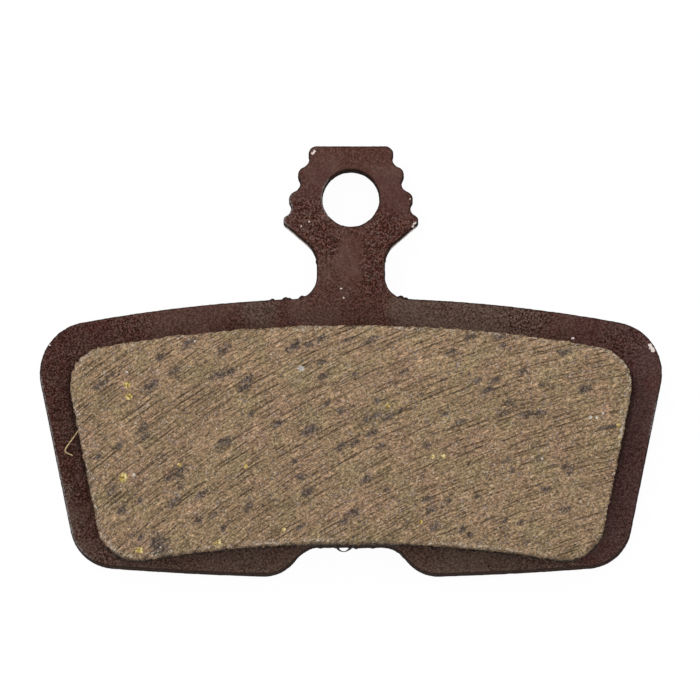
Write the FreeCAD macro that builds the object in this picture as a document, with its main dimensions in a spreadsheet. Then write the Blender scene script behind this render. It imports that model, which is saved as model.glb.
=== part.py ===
import FreeCAD, Part
import math
import os
from collections import namedtuple
from dataclasses import dataclass
from enum import IntEnum

import Sketcher
from FreeCAD import Vector

# A bicycle disc brake pad, in millimetres: a stamped steel plate that hangs from the caliper's pad pin
# by a serrated tab, and a block of friction compound moulded onto the plate's front face.
# The origin is the centre of the pin hole on the plate's back face.
# +Z points out of the friction face, +Y up the tab and +X along the pad.

SIZES = {
    # Pin hole and serrated tab
    "pin_hole": 3.8,
    "tab_top": 3.56,
    "tab_slant": 20.0,
    "tab_top_corner": 0.55,
    "gap_out": 3.41,
    "gap_drop": 0.88,
    "tooth_pitch": 1.77,
    "tooth_depth": 0.415,
    # Underside of the tab and neck
    "under_gap": 0.77,
    "under_slope": 40.6,
    "under_corner": 0.4,
    "neck_width": 4.64,
    "neck_fillet": 1.75,
    "neck_length": 3.1,
    "root_fillet": 1.5,
    "root_overlap": 1.0,
    # Plate
    "plate_thickness": 1.8,
    "plate_width": 42.0,
    "plate_height": 18.87,
    "plate_top_radius": 99.0,
    "plate_bottom_radius": 210.0,
    "side_taper": 11.5,
    "plate_upper_corner": 3.5,
    "plate_lower_corner": 3.1,
    "die_roll": 0.18,
    # Notch in the plate's lower edge
    "notch_width": 5.74,
    "notch_depth": 2.02,
    "notch_slope": 46.0,
    "notch_floor_fillet": 1.8,
    "notch_lobe_fillet": 2.6,
    "notch_overrun": 1.0,
    # Friction block
    "lining_thickness": 2.4,
    "lining_top_border": 2.15,
    "lining_side_border": 2.1,
    "lining_ledge": 0.05,
    "lining_bottom_radius": 88.0,
    "lining_corner": 2.65,
}

# The serrated flank has this many gaps on each side, with a tooth after each of them.
GAP_COUNT = 3


class Datum(IntEnum):
    """Sketcher's numbers for what every sketch holds from the start."""

    ORIGIN = -1
    UPRIGHT_AXIS = -2


class Spot(IntEnum):
    """Sketcher's numbers for the points of a piece."""

    START = 1
    END = 2
    CENTRE = 3


# A piece of an outline: its number in the sketch, and the ends where the outline enters and leaves it.
Piece = namedtuple("Piece", "geo enter leave")


def gap_x(index):
    """The distance of a gap's centre from the pad's middle line, as an expression."""
    return f"(sizes.gap_out + {index} * sizes.tooth_pitch * sin(sizes.tab_slant))"


def gap_y(index):
    """The height of a gap's centre above the pin hole, as an expression."""
    return f"(sizes.tab_top - sizes.gap_drop - {index} * sizes.tooth_pitch * cos(sizes.tab_slant))"


# Teeth and gaps are equal arcs that run into each other, so pitch and depth give their radius.
TOOTH_RADIUS = "((sizes.tooth_pitch ^ 2 / 16 + sizes.tooth_depth ^ 2 / 4) / sizes.tooth_depth)"

# Heights that several outlines share, worked down from the tab's lowest gap.
NECK_TOP = (
    f"({gap_y(GAP_COUNT - 1)} - (sizes.under_gap"
    f" + ({gap_x(GAP_COUNT - 1)} - sizes.neck_width / 2) * sin(sizes.under_slope)) / cos(sizes.under_slope))"
)
PLATE_TOP = f"({NECK_TOP} - sizes.neck_length)"
TAB_FOOT = f"({PLATE_TOP} - sizes.root_overlap)"
PLATE_BOTTOM = f"({PLATE_TOP} - sizes.plate_height)"
NOTCH_FLOOR = f"({PLATE_BOTTOM} + sizes.notch_depth)"
NOTCH_MOUTH = f"({PLATE_BOTTOM} - sizes.notch_overrun)"
LINING_TOP = f"({PLATE_TOP} - sizes.lining_top_border)"
LINING_BOTTOM = f"({NOTCH_FLOOR} + sizes.lining_ledge)"


def polar(centre, radius, degrees):
    """The point at an angle on a circle."""
    angle = math.radians(degrees)
    return centre + Vector(radius * math.cos(angle), radius * math.sin(angle), 0)


def heading(start, end):
    """The direction from one point to another, in degrees."""
    return math.degrees(math.atan2(end.y - start.y, end.x - start.x))


def mirrored(point):
    """A point's mirror image across the pad's middle line."""
    return Vector(-point.x, point.y, 0)


class Outline:
    """A sketch on a body's XY plane whose dimensions are bound to the spreadsheet."""

    def __init__(self, body, name, height=None):
        self.sketch = body.newObject("Sketcher::SketchObject", name)
        plane = next(item for item in body.Origin.OriginFeatures if item.Role == "XY_Plane")
        self.sketch.AttachmentSupport = (plane, [""])
        self.sketch.MapMode = "FlatFace"
        if height:
            self.sketch.setExpression("AttachmentOffset.Base.z", height)

    def value(self, expression):
        """The number that an expression on the spreadsheet gives."""
        return float(self.sketch.evalExpression(expression))

    def line(self, start, end):
        """Draws a line, followed from start to end."""
        return Piece(self.sketch.addGeometry(Part.LineSegment(start, end), False), Spot.START, Spot.END)

    def arc(self, centre, radius, first, last, hollow=False):
        """Draws an arc between two angles. The outline follows a hollow one backwards."""
        circle = Part.Circle(centre, Vector(0, 0, 1), radius)
        curve = Part.ArcOfCircle(circle, math.radians(first), math.radians(last))
        ends = (Spot.END, Spot.START) if hollow else (Spot.START, Spot.END)
        return Piece(self.sketch.addGeometry(curve, False), *ends)

    def point(self, piece, spot):
        """Where one of a piece's points lies in the sketch."""
        return self.sketch.getPoint(piece.geo, spot)

    def rule(self, kind, *where):
        """Adds a geometric constraint."""
        self.sketch.addConstraint(Sketcher.Constraint(kind, *where))

    def size(self, kind, *where, to):
        """Adds a dimension and binds it to an expression."""
        number = self.value(to)
        if kind == "Angle":
            number = math.radians(number)
        index = self.sketch.addConstraint(Sketcher.Constraint(kind, *where, number))
        self.sketch.setExpression(f"Constraints[{index}]", to)

    def place(self, piece, point, x=None, y=None):
        """Sets a point's distances from the origin, across and up."""
        if x:
            self.size("DistanceX", Datum.ORIGIN, Spot.START, piece.geo, point, to=x)
        if y:
            self.size("DistanceY", Datum.ORIGIN, Spot.START, piece.geo, point, to=y)

    def join(self, kind, *pieces):
        """Joins each piece to the next: Coincident at a corner, Tangent where they run smoothly on."""
        for piece, following in zip(pieces, pieces[1:]):
            self.rule(kind, piece.geo, piece.leave, following.geo, following.enter)


@dataclass
class PadShape:
    """The expressions that give a pad's outline: domed top, tapered sides and rounded corners.

    The bottom edge bulges downwards, or curves up into the pad if hollow_bottom is true.
    """

    top: str
    bottom: str
    top_radius: str
    bottom_radius: str
    half_width: str
    upper_corner: str
    lower_corner: str
    hollow_bottom: bool

    @property
    def top_centre(self):
        """The height of the top edge's centre."""
        return f"({self.top} - {self.top_radius})"

    @property
    def bottom_centre(self):
        """The height of the bottom edge's centre."""
        sign = "-" if self.hollow_bottom else "+"
        return f"({self.bottom} {sign} {self.bottom_radius})"

    @property
    def corner_x(self):
        """The distance of an upper corner's centre from the middle line."""
        return f"({self.half_width} - {self.upper_corner})"


PLATE_SHAPE = PadShape(
    top=PLATE_TOP,
    bottom=PLATE_BOTTOM,
    top_radius="sizes.plate_top_radius",
    bottom_radius="sizes.plate_bottom_radius",
    half_width="(sizes.plate_width / 2)",
    upper_corner="sizes.plate_upper_corner",
    lower_corner="sizes.plate_lower_corner",
    hollow_bottom=False,
)

# The block's top edge shares the plate's centre, and its bottom edge ends just above the notch.
LINING_SHAPE = PadShape(
    top=LINING_TOP,
    bottom=LINING_BOTTOM,
    top_radius="(sizes.plate_top_radius - sizes.lining_top_border)",
    bottom_radius="sizes.lining_bottom_radius",
    half_width="(sizes.plate_width / 2 - sizes.lining_side_border)",
    upper_corner="sizes.lining_corner",
    lower_corner="sizes.lining_corner",
    hollow_bottom=True,
)


def corner_centres(outline, shape):
    """Where the right upper and lower corners' centres start out, for the constraints to settle."""
    r_top, r_upper = outline.value(shape.top_radius), outline.value(shape.upper_corner)
    r_bottom, r_lower = outline.value(shape.bottom_radius), outline.value(shape.lower_corner)
    half = outline.value(shape.half_width)
    upper_x = outline.value(shape.corner_x)
    upper_y = outline.value(shape.top_centre) + math.sqrt((r_top - r_upper) ** 2 - upper_x ** 2)
    rise = half ** 2 / (2 * r_bottom)
    lower_y = outline.value(shape.bottom) + r_lower + (-rise if shape.hollow_bottom else rise)
    lower_x = half - r_lower - (upper_y - lower_y) * math.tan(math.radians(outline.value("sizes.side_taper")))
    return Vector(upper_x, upper_y, 0), Vector(lower_x, lower_y, 0)


def draw_pad(outline, shape):
    """Draws the outline anticlockwise from its right side, each piece tangent to the next."""
    taper = outline.value("sizes.side_taper")
    upper, lower = corner_centres(outline, shape)
    r_upper, r_lower = outline.value(shape.upper_corner), outline.value(shape.lower_corner)
    top_centre = Vector(0, outline.value(shape.top_centre), 0)
    bottom_centre = Vector(0, outline.value(shape.bottom_centre), 0)
    r_bottom = outline.value(shape.bottom_radius)
    side_top, side_bottom = polar(upper, r_upper, -taper), polar(lower, r_lower, -taper)
    top_turn = heading(top_centre, upper)

    right = outline.line(side_bottom, side_top)
    upper_right = outline.arc(upper, r_upper, -taper, top_turn)
    dome = outline.arc(top_centre, outline.value(shape.top_radius), top_turn, 180 - top_turn)
    upper_left = outline.arc(mirrored(upper), r_upper, 180 - top_turn, 180 + taper)
    left = outline.line(mirrored(side_top), mirrored(side_bottom))
    if shape.hollow_bottom:
        bottom_turn = heading(lower, bottom_centre)
        base = outline.arc(bottom_centre, r_bottom, 180 + bottom_turn, -bottom_turn, hollow=True)
    else:
        bottom_turn = heading(bottom_centre, lower)
        base = outline.arc(bottom_centre, r_bottom, -180 - bottom_turn, bottom_turn)
    lower_left = outline.arc(mirrored(lower), r_lower, 180 + taper, 180 - bottom_turn)
    lower_right = outline.arc(lower, r_lower, bottom_turn, -taper)
    outline.join("Tangent", right, upper_right, dome, upper_left, left, lower_left, base, lower_right, right)
    return right, upper_right, dome, upper_left, left, lower_left, base, lower_right


def pad_outline(outline, shape):
    """Draws a closed pad outline and binds its sizes."""
    right, upper_right, dome, upper_left, left, lower_left, base, lower_right = draw_pad(outline, shape)
    outline.rule("PointOnObject", dome.geo, Spot.CENTRE, Datum.UPRIGHT_AXIS)
    outline.rule("PointOnObject", base.geo, Spot.CENTRE, Datum.UPRIGHT_AXIS)
    outline.place(dome, Spot.CENTRE, y=shape.top_centre)
    outline.place(base, Spot.CENTRE, y=shape.bottom_centre)
    outline.size("Radius", dome.geo, to=shape.top_radius)
    outline.size("Radius", base.geo, to=shape.bottom_radius)
    outline.size("Radius", upper_right.geo, to=shape.upper_corner)
    outline.size("Radius", lower_right.geo, to=shape.lower_corner)
    outline.rule("Equal", upper_right.geo, upper_left.geo)
    outline.rule("Equal", lower_right.geo, lower_left.geo)
    outline.place(upper_right, Spot.CENTRE, x=shape.corner_x)
    outline.place(upper_left, Spot.CENTRE, x=f"-{shape.corner_x}")
    outline.size("Angle", right.geo, to="(90 - sizes.side_taper)")
    outline.size("Angle", left.geo, to="(sizes.side_taper - 90)")


def draw_flank(outline):
    """Draws the serrated flank upwards, from the lowest tooth's tip to the tab's top corner.

    Gap centres lie outside the metal, and tooth centres inside it, half a pitch further up.
    """
    radius = outline.value(TOOTH_RADIUS)
    slant = outline.value("sizes.tab_slant")
    slope = outline.value("sizes.under_slope")
    r_under, r_top = outline.value("sizes.under_corner"), outline.value("sizes.tab_top_corner")
    swing = math.degrees(math.asin(outline.value("sizes.tooth_pitch") / (4 * radius)))
    gaps = range(GAP_COUNT)
    centres = [Vector(outline.value(gap_x(gap)), outline.value(gap_y(gap)), 0) for gap in gaps]
    highest, lowest = centres[0], centres[-1]
    to_tooth = polar(Vector(), 2 * radius, 180 + slant - swing)

    offset = outline.value("sizes.under_gap") - r_under
    reach = math.sqrt((radius + r_under) ** 2 - offset ** 2)
    under_centre = polar(polar(lowest, offset, slope - 90), reach, slope + 180)
    flank = [outline.arc(under_centre, r_under, slope - 90, heading(under_centre, lowest))]
    for centre in reversed(centres):
        flank.append(outline.arc(centre, radius, 180 + slant - swing, 180 + slant + swing, hollow=True))
        if centre is not highest:
            flank.append(outline.arc(centre + to_tooth, radius, slant - swing, slant + swing))

    top_y = outline.value("sizes.tab_top") - r_top
    reach = math.sqrt((radius + r_top) ** 2 - (highest.y - top_y) ** 2)
    top_centre = Vector(highest.x - reach, top_y, 0)
    flank.append(outline.arc(top_centre, r_top, heading(top_centre, highest), 90))
    return flank


def draw_tab(outline, flank):
    """Draws the neck and underside below a flank and the top edge above it, and joins them all."""
    top = outline.value("sizes.tab_top")
    bottom = outline.value(TAB_FOOT)
    slope = outline.value("sizes.under_slope")
    neck = outline.value("sizes.neck_width / 2")
    radius = outline.value("sizes.neck_fillet")
    run = radius * math.tan(math.radians(90 - slope) / 2)
    curve_centre = Vector(neck + radius, outline.value(NECK_TOP) - run, 0)
    first, last = flank[0], flank[-1]

    foot = outline.line(Vector(0, bottom, 0), Vector(neck, bottom, 0))
    side = outline.line(Vector(neck, bottom, 0), Vector(neck, curve_centre.y, 0))
    curve = outline.arc(curve_centre, radius, 90 + slope, 180, hollow=True)
    under = outline.line(polar(curve_centre, radius, 90 + slope), outline.point(first, first.enter))
    roof = outline.line(outline.point(last, last.leave), Vector(0, top, 0))
    middle = outline.line(Vector(0, top, 0), Vector(0, bottom, 0))
    outline.join("Tangent", side, curve, under, *flank, roof)
    outline.join("Coincident", roof, middle, foot, side)
    return foot, side, curve, under, roof, middle


def tab_outline(outline):
    """Draws the right half of the tab, from its neck to its top edge, and binds its sizes."""
    flank = draw_flank(outline)
    foot, side, curve, under, roof, middle = draw_tab(outline, flank)
    under_tip, *waves, top_tip = flank
    gaps, teeth = waves[::2], waves[1::2]
    outline.rule("PointOnObject", middle.geo, Spot.START, Datum.UPRIGHT_AXIS)
    outline.rule("PointOnObject", middle.geo, Spot.END, Datum.UPRIGHT_AXIS)
    outline.rule("Horizontal", foot.geo)
    outline.rule("Horizontal", roof.geo)
    outline.rule("Vertical", side.geo)
    outline.place(middle, Spot.START, y="sizes.tab_top")
    outline.place(foot, Spot.END, x="sizes.neck_width / 2", y=TAB_FOOT)
    outline.size("Radius", curve.geo, to="sizes.neck_fillet")
    outline.size("Radius", under_tip.geo, to="sizes.under_corner")
    outline.size("Radius", top_tip.geo, to="sizes.tab_top_corner")
    outline.size("Angle", under.geo, to="sizes.under_slope")
    outline.size("Distance", gaps[0].geo, Spot.CENTRE, under.geo, to="sizes.under_gap")
    for index, gap in enumerate(reversed(gaps)):
        outline.place(gap, Spot.CENTRE, x=gap_x(index), y=gap_y(index))
        outline.size("Radius", gap.geo, to=TOOTH_RADIUS)
    for tooth in teeth:
        outline.rule("Equal", gaps[0].geo, tooth.geo)


def notch_outline(outline):
    """Draws the notch as a trapezium that opens out through the plate's lower edge."""
    half = outline.value("sizes.notch_width / 2")
    floor_y = outline.value(NOTCH_FLOOR)
    mouth_y = outline.value(NOTCH_MOUTH)
    spread = (floor_y - mouth_y) / math.tan(math.radians(outline.value("sizes.notch_slope")))
    corners = [
        Vector(half, floor_y, 0),
        Vector(-half, floor_y, 0),
        Vector(-half - spread, mouth_y, 0),
        Vector(half + spread, mouth_y, 0),
    ]
    sides = [outline.line(start, end) for start, end in zip(corners, corners[1:] + corners[:1])]
    floor, left, mouth, right = sides
    outline.join("Coincident", *sides, floor)
    outline.rule("Horizontal", floor.geo)
    outline.rule("Horizontal", mouth.geo)
    outline.place(floor, Spot.START, x="sizes.notch_width / 2", y=NOTCH_FLOOR)
    outline.place(floor, Spot.END, x="-sizes.notch_width / 2")
    outline.place(mouth, Spot.START, y=NOTCH_MOUTH)
    outline.size("Angle", left.geo, to="(180 + sizes.notch_slope)")
    outline.size("Angle", right.geo, to="(180 - sizes.notch_slope)")


def hole_outline(outline):
    """Draws the pin hole, centred on the origin."""
    hole = outline.sketch.addGeometry(
        Part.Circle(Vector(), Vector(0, 0, 1), outline.value("sizes.pin_hole / 2")), False
    )
    outline.rule("Coincident", hole, Spot.CENTRE, Datum.ORIGIN, Spot.START)
    outline.size("Diameter", hole, to="sizes.pin_hole")


def pad(body, name, outline, thickness):
    """Pads an outline upwards by an expression."""
    feature = body.newObject("PartDesign::Pad", name)
    feature.Profile = outline.sketch
    feature.setExpression("Length", thickness)
    body.Document.recompute()
    return feature


def cut_through(body, name, outline):
    """Cuts an outline through the plate, and makes sure that the cut took metal away."""
    before = body.Shape.Volume
    feature = body.newObject("PartDesign::Pocket", name)
    feature.Profile = outline.sketch
    feature.Type = "ThroughAll"
    feature.Reversed = True
    body.Document.recompute()
    if feature.Shape.Volume >= before:
        raise RuntimeError(f"{name} cuts nothing")
    return feature


def upright_edges(shape, points):
    """The names of the upright edges that stand nearest to the given points."""
    upright = {}
    for number, edge in enumerate(shape.Edges, start=1):
        ends = [vertex.Point for vertex in edge.Vertexes]
        if len(ends) == 2 and (ends[0] - ends[1]).normalize().isParallel(Vector(0, 0, 1), 1e-6):
            upright[f"Edge{number}"] = Vector(ends[0].x, ends[0].y, 0)
    return [min(upright, key=lambda name: upright[name].distanceToPoint(point)) for point in points]


def front_face(shape):
    """The name of the flat face that lies highest."""
    flat = {
        f"Face{number}": face.CenterOfMass.z
        for number, face in enumerate(shape.Faces, start=1)
        if face.Surface.isPlanar() and face.BoundBox.ZLength < 1e-6
    }
    return max(flat, key=flat.get)


def fillet(body, name, base, items, radius):
    """Rounds edges, or all the edges of a face, of the last feature."""
    feature = body.newObject("PartDesign::Fillet", name)
    feature.Base = (base, items)
    feature.setExpression("Radius", radius)
    body.Document.recompute()
    return feature


def make_backing_plate(doc):
    """The stamped plate: body, serrated tab, notch, pin hole and the rounded front edge."""
    body = doc.addObject("PartDesign::Body", "backing_plate")
    body.Label = "backing_plate"

    plate = Outline(body, "plate_outline")
    pad_outline(plate, PLATE_SHAPE)
    pad(body, "plate_pad", plate, "sizes.plate_thickness")

    tab = Outline(body, "tab_outline")
    tab_outline(tab)
    tab_pad = pad(body, "tab_pad", tab, "sizes.plate_thickness")
    tab_pair = body.newObject("PartDesign::Mirrored", "tab_pair")
    tab_pair.Originals = [tab_pad]
    middle_plane = next(item for item in body.Origin.OriginFeatures if item.Role == "YZ_Plane")
    tab_pair.MirrorPlane = (middle_plane, [""])
    body.Tip = tab_pair
    doc.recompute()

    notch = Outline(body, "notch_outline")
    notch_outline(notch)
    last = cut_through(body, "notch", notch)
    lobe_x = "sizes.notch_width / 2 + sizes.notch_depth / tan(sizes.notch_slope)"
    roundings = [
        ("neck_root", "sizes.neck_width / 2", PLATE_TOP, "sizes.root_fillet"),
        ("notch_floor", "sizes.notch_width / 2", NOTCH_FLOOR, "sizes.notch_floor_fillet"),
        ("notch_lobes", lobe_x, PLATE_BOTTOM, "sizes.notch_lobe_fillet"),
    ]
    for name, x, y, radius in roundings:
        corner = Vector(notch.value(x), notch.value(y), 0)
        edges = upright_edges(last.Shape, [corner, mirrored(corner)])
        last = fillet(body, name, last, edges, radius)

    hole = Outline(body, "pin_hole_outline")
    hole_outline(hole)
    last = cut_through(body, "pin_hole_cut", hole)
    fillet(body, "front_edge", last, [front_face(last.Shape)], "sizes.die_roll")
    return body


def make_friction_block(doc):
    """The moulded block, seated on the plate's front face."""
    body = doc.addObject("PartDesign::Body", "friction_block")
    body.Label = "friction_block"
    face = Outline(body, "lining_outline", height="sizes.plate_thickness")
    pad_outline(face, LINING_SHAPE)
    pad(body, "lining_pad", face, "sizes.lining_thickness")
    return body


def make_sheet(doc):
    """Writes each size to the spreadsheet, under its own alias."""
    sheet = doc.addObject("Spreadsheet::Sheet", "sizes")
    for row, (name, value) in enumerate(SIZES.items(), start=1):
        sheet.set(f"A{row}", name)
        sheet.set(f"B{row}", str(value))
        sheet.setAlias(f"B{row}", name)
    doc.recompute()


def check(doc, bodies):
    """Stops if any object failed to compute or a body isn't one sound solid."""
    for item in doc.Objects:
        if "Invalid" in item.State or "Error" in item.State:
            raise RuntimeError(f"{item.Label} failed: {item.State}")
    for body in bodies:
        shape = body.Shape
        if shape.isNull() or not shape.isValid() or len(shape.Solids) != 1:
            raise RuntimeError(f"{body.Label} isn't one sound solid")


def main():
    """Builds the pad's two pieces and writes one STEP file for each."""
    doc = FreeCAD.newDocument("disc_brake_pad")
    make_sheet(doc)
    bodies = [make_backing_plate(doc), make_friction_block(doc)]
    doc.recompute()
    check(doc, bodies)
    os.makedirs("parts", exist_ok=True)
    for body in bodies:
        body.Shape.exportStep(f"parts/{body.Label}.step")
        box = body.Shape.BoundBox
        print(f"{body.Label}: {box.XLength:.3f} x {box.YLength:.3f} x {box.ZLength:.3f} mm,"
              f" {body.Shape.Volume:.1f} mm3")


main()
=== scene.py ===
"""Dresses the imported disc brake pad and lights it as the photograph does.

The pad lies on its back on a white floor: a coated steel backing plate with a serrated hanging
tab, a block of friction compound that was ground flat, one brass fibre that stands out of the
block's left wall, and one thin curl of moulding skin at the block's foot, in the notch.
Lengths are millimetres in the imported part's frame, unless a name says otherwise.
"""

import logging
import math
from dataclasses import dataclass
from enum import Enum
from itertools import product
from typing import Sequence, Union

import bpy
import numpy as np
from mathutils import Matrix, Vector
from mathutils.bvhtree import BVHTree
from mathutils.kdtree import KDTree


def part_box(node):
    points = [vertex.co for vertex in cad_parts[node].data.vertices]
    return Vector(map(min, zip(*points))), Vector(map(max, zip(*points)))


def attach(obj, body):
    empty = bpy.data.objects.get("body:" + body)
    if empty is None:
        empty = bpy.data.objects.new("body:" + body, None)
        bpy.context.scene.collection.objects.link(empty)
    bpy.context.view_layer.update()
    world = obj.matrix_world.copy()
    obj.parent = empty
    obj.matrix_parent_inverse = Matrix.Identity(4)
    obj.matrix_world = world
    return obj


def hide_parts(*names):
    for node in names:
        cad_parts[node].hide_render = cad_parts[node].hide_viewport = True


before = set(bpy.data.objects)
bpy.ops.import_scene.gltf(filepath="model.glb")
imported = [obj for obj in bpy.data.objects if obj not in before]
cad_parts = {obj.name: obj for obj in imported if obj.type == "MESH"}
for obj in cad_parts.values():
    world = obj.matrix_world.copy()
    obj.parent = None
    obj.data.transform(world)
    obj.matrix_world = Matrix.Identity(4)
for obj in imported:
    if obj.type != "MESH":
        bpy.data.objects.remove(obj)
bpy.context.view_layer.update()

MM = 0.001
BODY = "root"
SMOOTH_ANGLE = math.radians(60)
LOG = logging.getLogger("disc_brake_pad")

Feed = Union[float, tuple, bpy.types.NodeSocket]
Colour = tuple[float, float, float]
Line = tuple[float, float]  # A gain and a base.


class CadNode(Enum):
    """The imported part's nodes."""

    PLATE = "backing_plate"
    BLOCK = "friction_block"


class Slot(Enum):
    """The record's material slots."""

    COATED_STEEL = "coated_steel"
    FRICTION_COMPOUND = "friction_compound"


class Layer(Enum):
    """What a piece's mesh stores at each point for its finish to read.

    Attributes:
        SPECKLE: How speckled the primer is.
        DUST: How dusty the primer is.
        BURNISH: Where a highlight is painted on the plate's rolled edge.
        WINE: Where the primer is redder.
        BARE: Where the primer is off.
        SEAM: How near the block's foot is.
        WALL: How much the surface faces sideways.
        GRAPHITE: How near a graphite clump is.
        BRASS: How near a brass fleck is.
        GLINT: How near a bright glint is.
        RIM: How near the piece's wall is.
        FRAY: Where the block's rim is frayed.
    """

    SPECKLE = "speckle"
    DUST = "dust"
    BURNISH = "edge_highlight"
    WINE = "wine"
    BARE = "bare_steel"
    SEAM = "seam"
    WALL = "wall"
    GRAPHITE = "graphite"
    BRASS = "brass"
    GLINT = "glint"
    RIM = "rim"
    FRAY = "fray"


@dataclass(frozen=True)
class Ease:
    """A smooth step from one level to another.

    Attributes:
        low: The value where the step starts.
        high: The value where it ends, which may be less than low.
        start: The level on low's side.
        end: The level on high's side.
    """

    low: float
    high: float
    start: float = 0.0
    end: float = 1.0

    def of(self, values: np.ndarray) -> np.ndarray:
        """Gives the level for each value."""
        part = np.clip((values - self.low) / (self.high - self.low), 0, 1)
        return self.start + (self.end - self.start) * (part * part * (3 - 2 * part))


@dataclass(frozen=True)
class Cloud:
    """Smooth noise in a finish.

    Attributes:
        scale: Its lattice steps in a millimetre.
        detail: How many finer layers it has.
        rough: The share of each finer layer.
    """

    scale: float
    detail: float = 2.0
    rough: float = 0.5


@dataclass(frozen=True)
class Wave:
    """Smooth noise in a mesh.

    Attributes:
        across: Its lattice steps in a millimetre, seen from the front.
        through: Its lattice steps in a millimetre of the pad's thickness.
        share: How much of it is used.
        shift: How many lattice steps it is shifted by, so that waves differ.
    """

    across: float
    through: float = 0.0
    share: float = 1.0
    shift: float = 0.0


@dataclass(frozen=True)
class Dash:
    """Thin dashes that the grinding left, one in each cell of its arcs.

    Attributes:
        pitch: The cells' width across the arcs.
        length: The cells' length along the arcs.
        width: Half of a dash's width.
        shift: How many cells they are shifted by, so that dashes differ.
    """

    pitch: float
    length: float
    width: float
    shift: float = 0.0


@dataclass(frozen=True)
class Streak:
    """Noise that is drawn out along the grinding's arcs.

    Attributes:
        pitch: Its lattice step across the arcs.
        length: Its lattice step along the arcs.
        shift: Its place in the third direction, so that streaks differ.
        cloud: The noise, in lattice steps.
    """

    pitch: float
    length: float
    shift: float
    cloud: Cloud


@dataclass(frozen=True)
class Mark:
    """A spot on the pad, seen from the front.

    Attributes:
        x: Place along the pad.
        y: Place up the pad.
        radius: Half the spot's width.
    """

    x: float
    y: float
    radius: float


Marks = tuple[Mark, ...]


def marks(*rows: tuple[float, float, float]) -> Marks:
    """Makes marks from rows of place along, place up and radius."""
    return tuple(Mark(*row) for row in rows)


def nearness(points: np.ndarray, spots: Sequence[Mark]) -> np.ndarray:
    """Says how near points lie to the nearest of some marks.

    Args:
        points: The points, one in each row.
        spots: The marks to measure from.

    Returns:
        1 at a mark's centre, a half at its edge and 0 from twice its radius on.
    """
    best = np.zeros(len(points))
    for spot in spots:
        distance = np.hypot(points[:, 0] - spot.x, points[:, 1] - spot.y)
        best = np.maximum(best, np.clip(1 - distance / (2 * spot.radius), 0, 1))
    return best


@dataclass(frozen=True)
class Grinding:
    """The grinding lines are arcs about one centre, far off the pad's lower right corner.

    Attributes:
        x: The centre's place along the pad.
        y: The centre's place up the pad.
        radius: Its distance from the middle of the friction face.
    """

    x: float = 33.0
    y: float = -80.0
    radius: float = 71.5

    def places(self, points: np.ndarray) -> tuple[np.ndarray, np.ndarray]:
        """Finds points on the arcs.

        Args:
            points: The points, one in each row.

        Returns:
            Their places across the arcs, and along them.
        """
        across, up = points[:, 0] - self.x, points[:, 1] - self.y
        return np.hypot(across, up), np.arctan2(up, across) * self.radius

    def drawn_out(self, points: np.ndarray, stretch: float) -> np.ndarray:
        """Turns points into places where distances along the arcs count less.

        Args:
            points: The points, one in each row.
            stretch: How many times longer than wide a round mark becomes.

        Returns:
            The places, one in each row.
        """
        radius, along = self.places(points)
        return np.column_stack((radius * math.sqrt(stretch), along / math.sqrt(stretch)))


GRINDING = Grinding()


class Noise:
    """Smooth seeded noise, the same in every run."""

    TABLE = 65536
    PRIMES = (73856093, 19349663, 83492791)

    def __init__(self, seed: int) -> None:
        """Fills the table of lattice values from the seed."""
        self.values = np.random.default_rng(seed).random(self.TABLE)

    def at(self, *axes: np.ndarray) -> np.ndarray:
        """Samples the noise at points.

        Args:
            axes: The points' coordinates in lattice steps, one array for each axis.

        Returns:
            A value from 0 to 1 for each point.
        """
        cells = [np.floor(axis).astype(np.int64) for axis in axes]
        eased = []
        for axis, cell in zip(axes, cells):
            part = axis - cell
            eased.append(part * part * (3 - 2 * part))
        total = np.zeros_like(axes[0])
        for corner in product((0, 1), repeat=len(axes)):
            key = np.zeros_like(cells[0])
            weight = np.ones_like(axes[0])
            for cell, ease, step, prime in zip(cells, eased, corner, self.PRIMES):
                key ^= (cell + step) * prime
                weight = weight * (ease if step else 1 - ease)
            total += weight * self.values[key % self.TABLE]
        return total

    def waves(self, points: np.ndarray, *waves: Wave) -> np.ndarray:
        """Adds up waves of the noise.

        Args:
            points: The points, one in each row.
            waves: The waves.

        Returns:
            Their sum at each point, each wave from 0 to its share.
        """
        x, y, z = points.T
        total = np.zeros(len(points))
        for wave in waves:
            axes = x * wave.across + wave.shift, y * wave.across, z * wave.through
            total = total + wave.share * self.at(*axes)
        return total


@dataclass(frozen=True)
class Surface:
    """A mesh's points, and the way that it faces at each.

    Attributes:
        points: The points, one in each row.
        normals: The directions, one in each row.
    """

    points: np.ndarray
    normals: np.ndarray

    @classmethod
    def of(cls, mesh: bpy.types.Mesh) -> "Surface":
        """Reads a mesh.

        Args:
            mesh: The mesh, in metres.

        Returns:
            Its surface, in millimetres.
        """
        flat = np.empty(len(mesh.vertices) * 3, np.float32)
        rows = []
        for name in ("co", "normal"):
            mesh.vertices.foreach_get(name, flat)
            rows.append(flat.reshape(-1, 3).astype(float))
        return cls(rows[0] / MM, rows[1])

    @property
    def height(self) -> np.ndarray:
        """How high each point lies over the pad's back."""
        return self.points[:, 2]

    @property
    def front(self) -> np.ndarray:
        """How much each point faces the front, from 0 to 1."""
        return np.clip(self.normals[:, 2], 0, 1)

    @property
    def wall(self) -> np.ndarray:
        """How much each point faces sideways, from 0 to 1."""
        return 1 - np.abs(self.normals[:, 2])


def select_only(piece: bpy.types.Object) -> None:
    """Makes a piece the only selected object, and the active one.

    Args:
        piece: The object that the next operators act on.
    """
    bpy.ops.object.select_all(action="DESELECT")
    piece.select_set(True)
    bpy.context.view_layer.objects.active = piece


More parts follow.
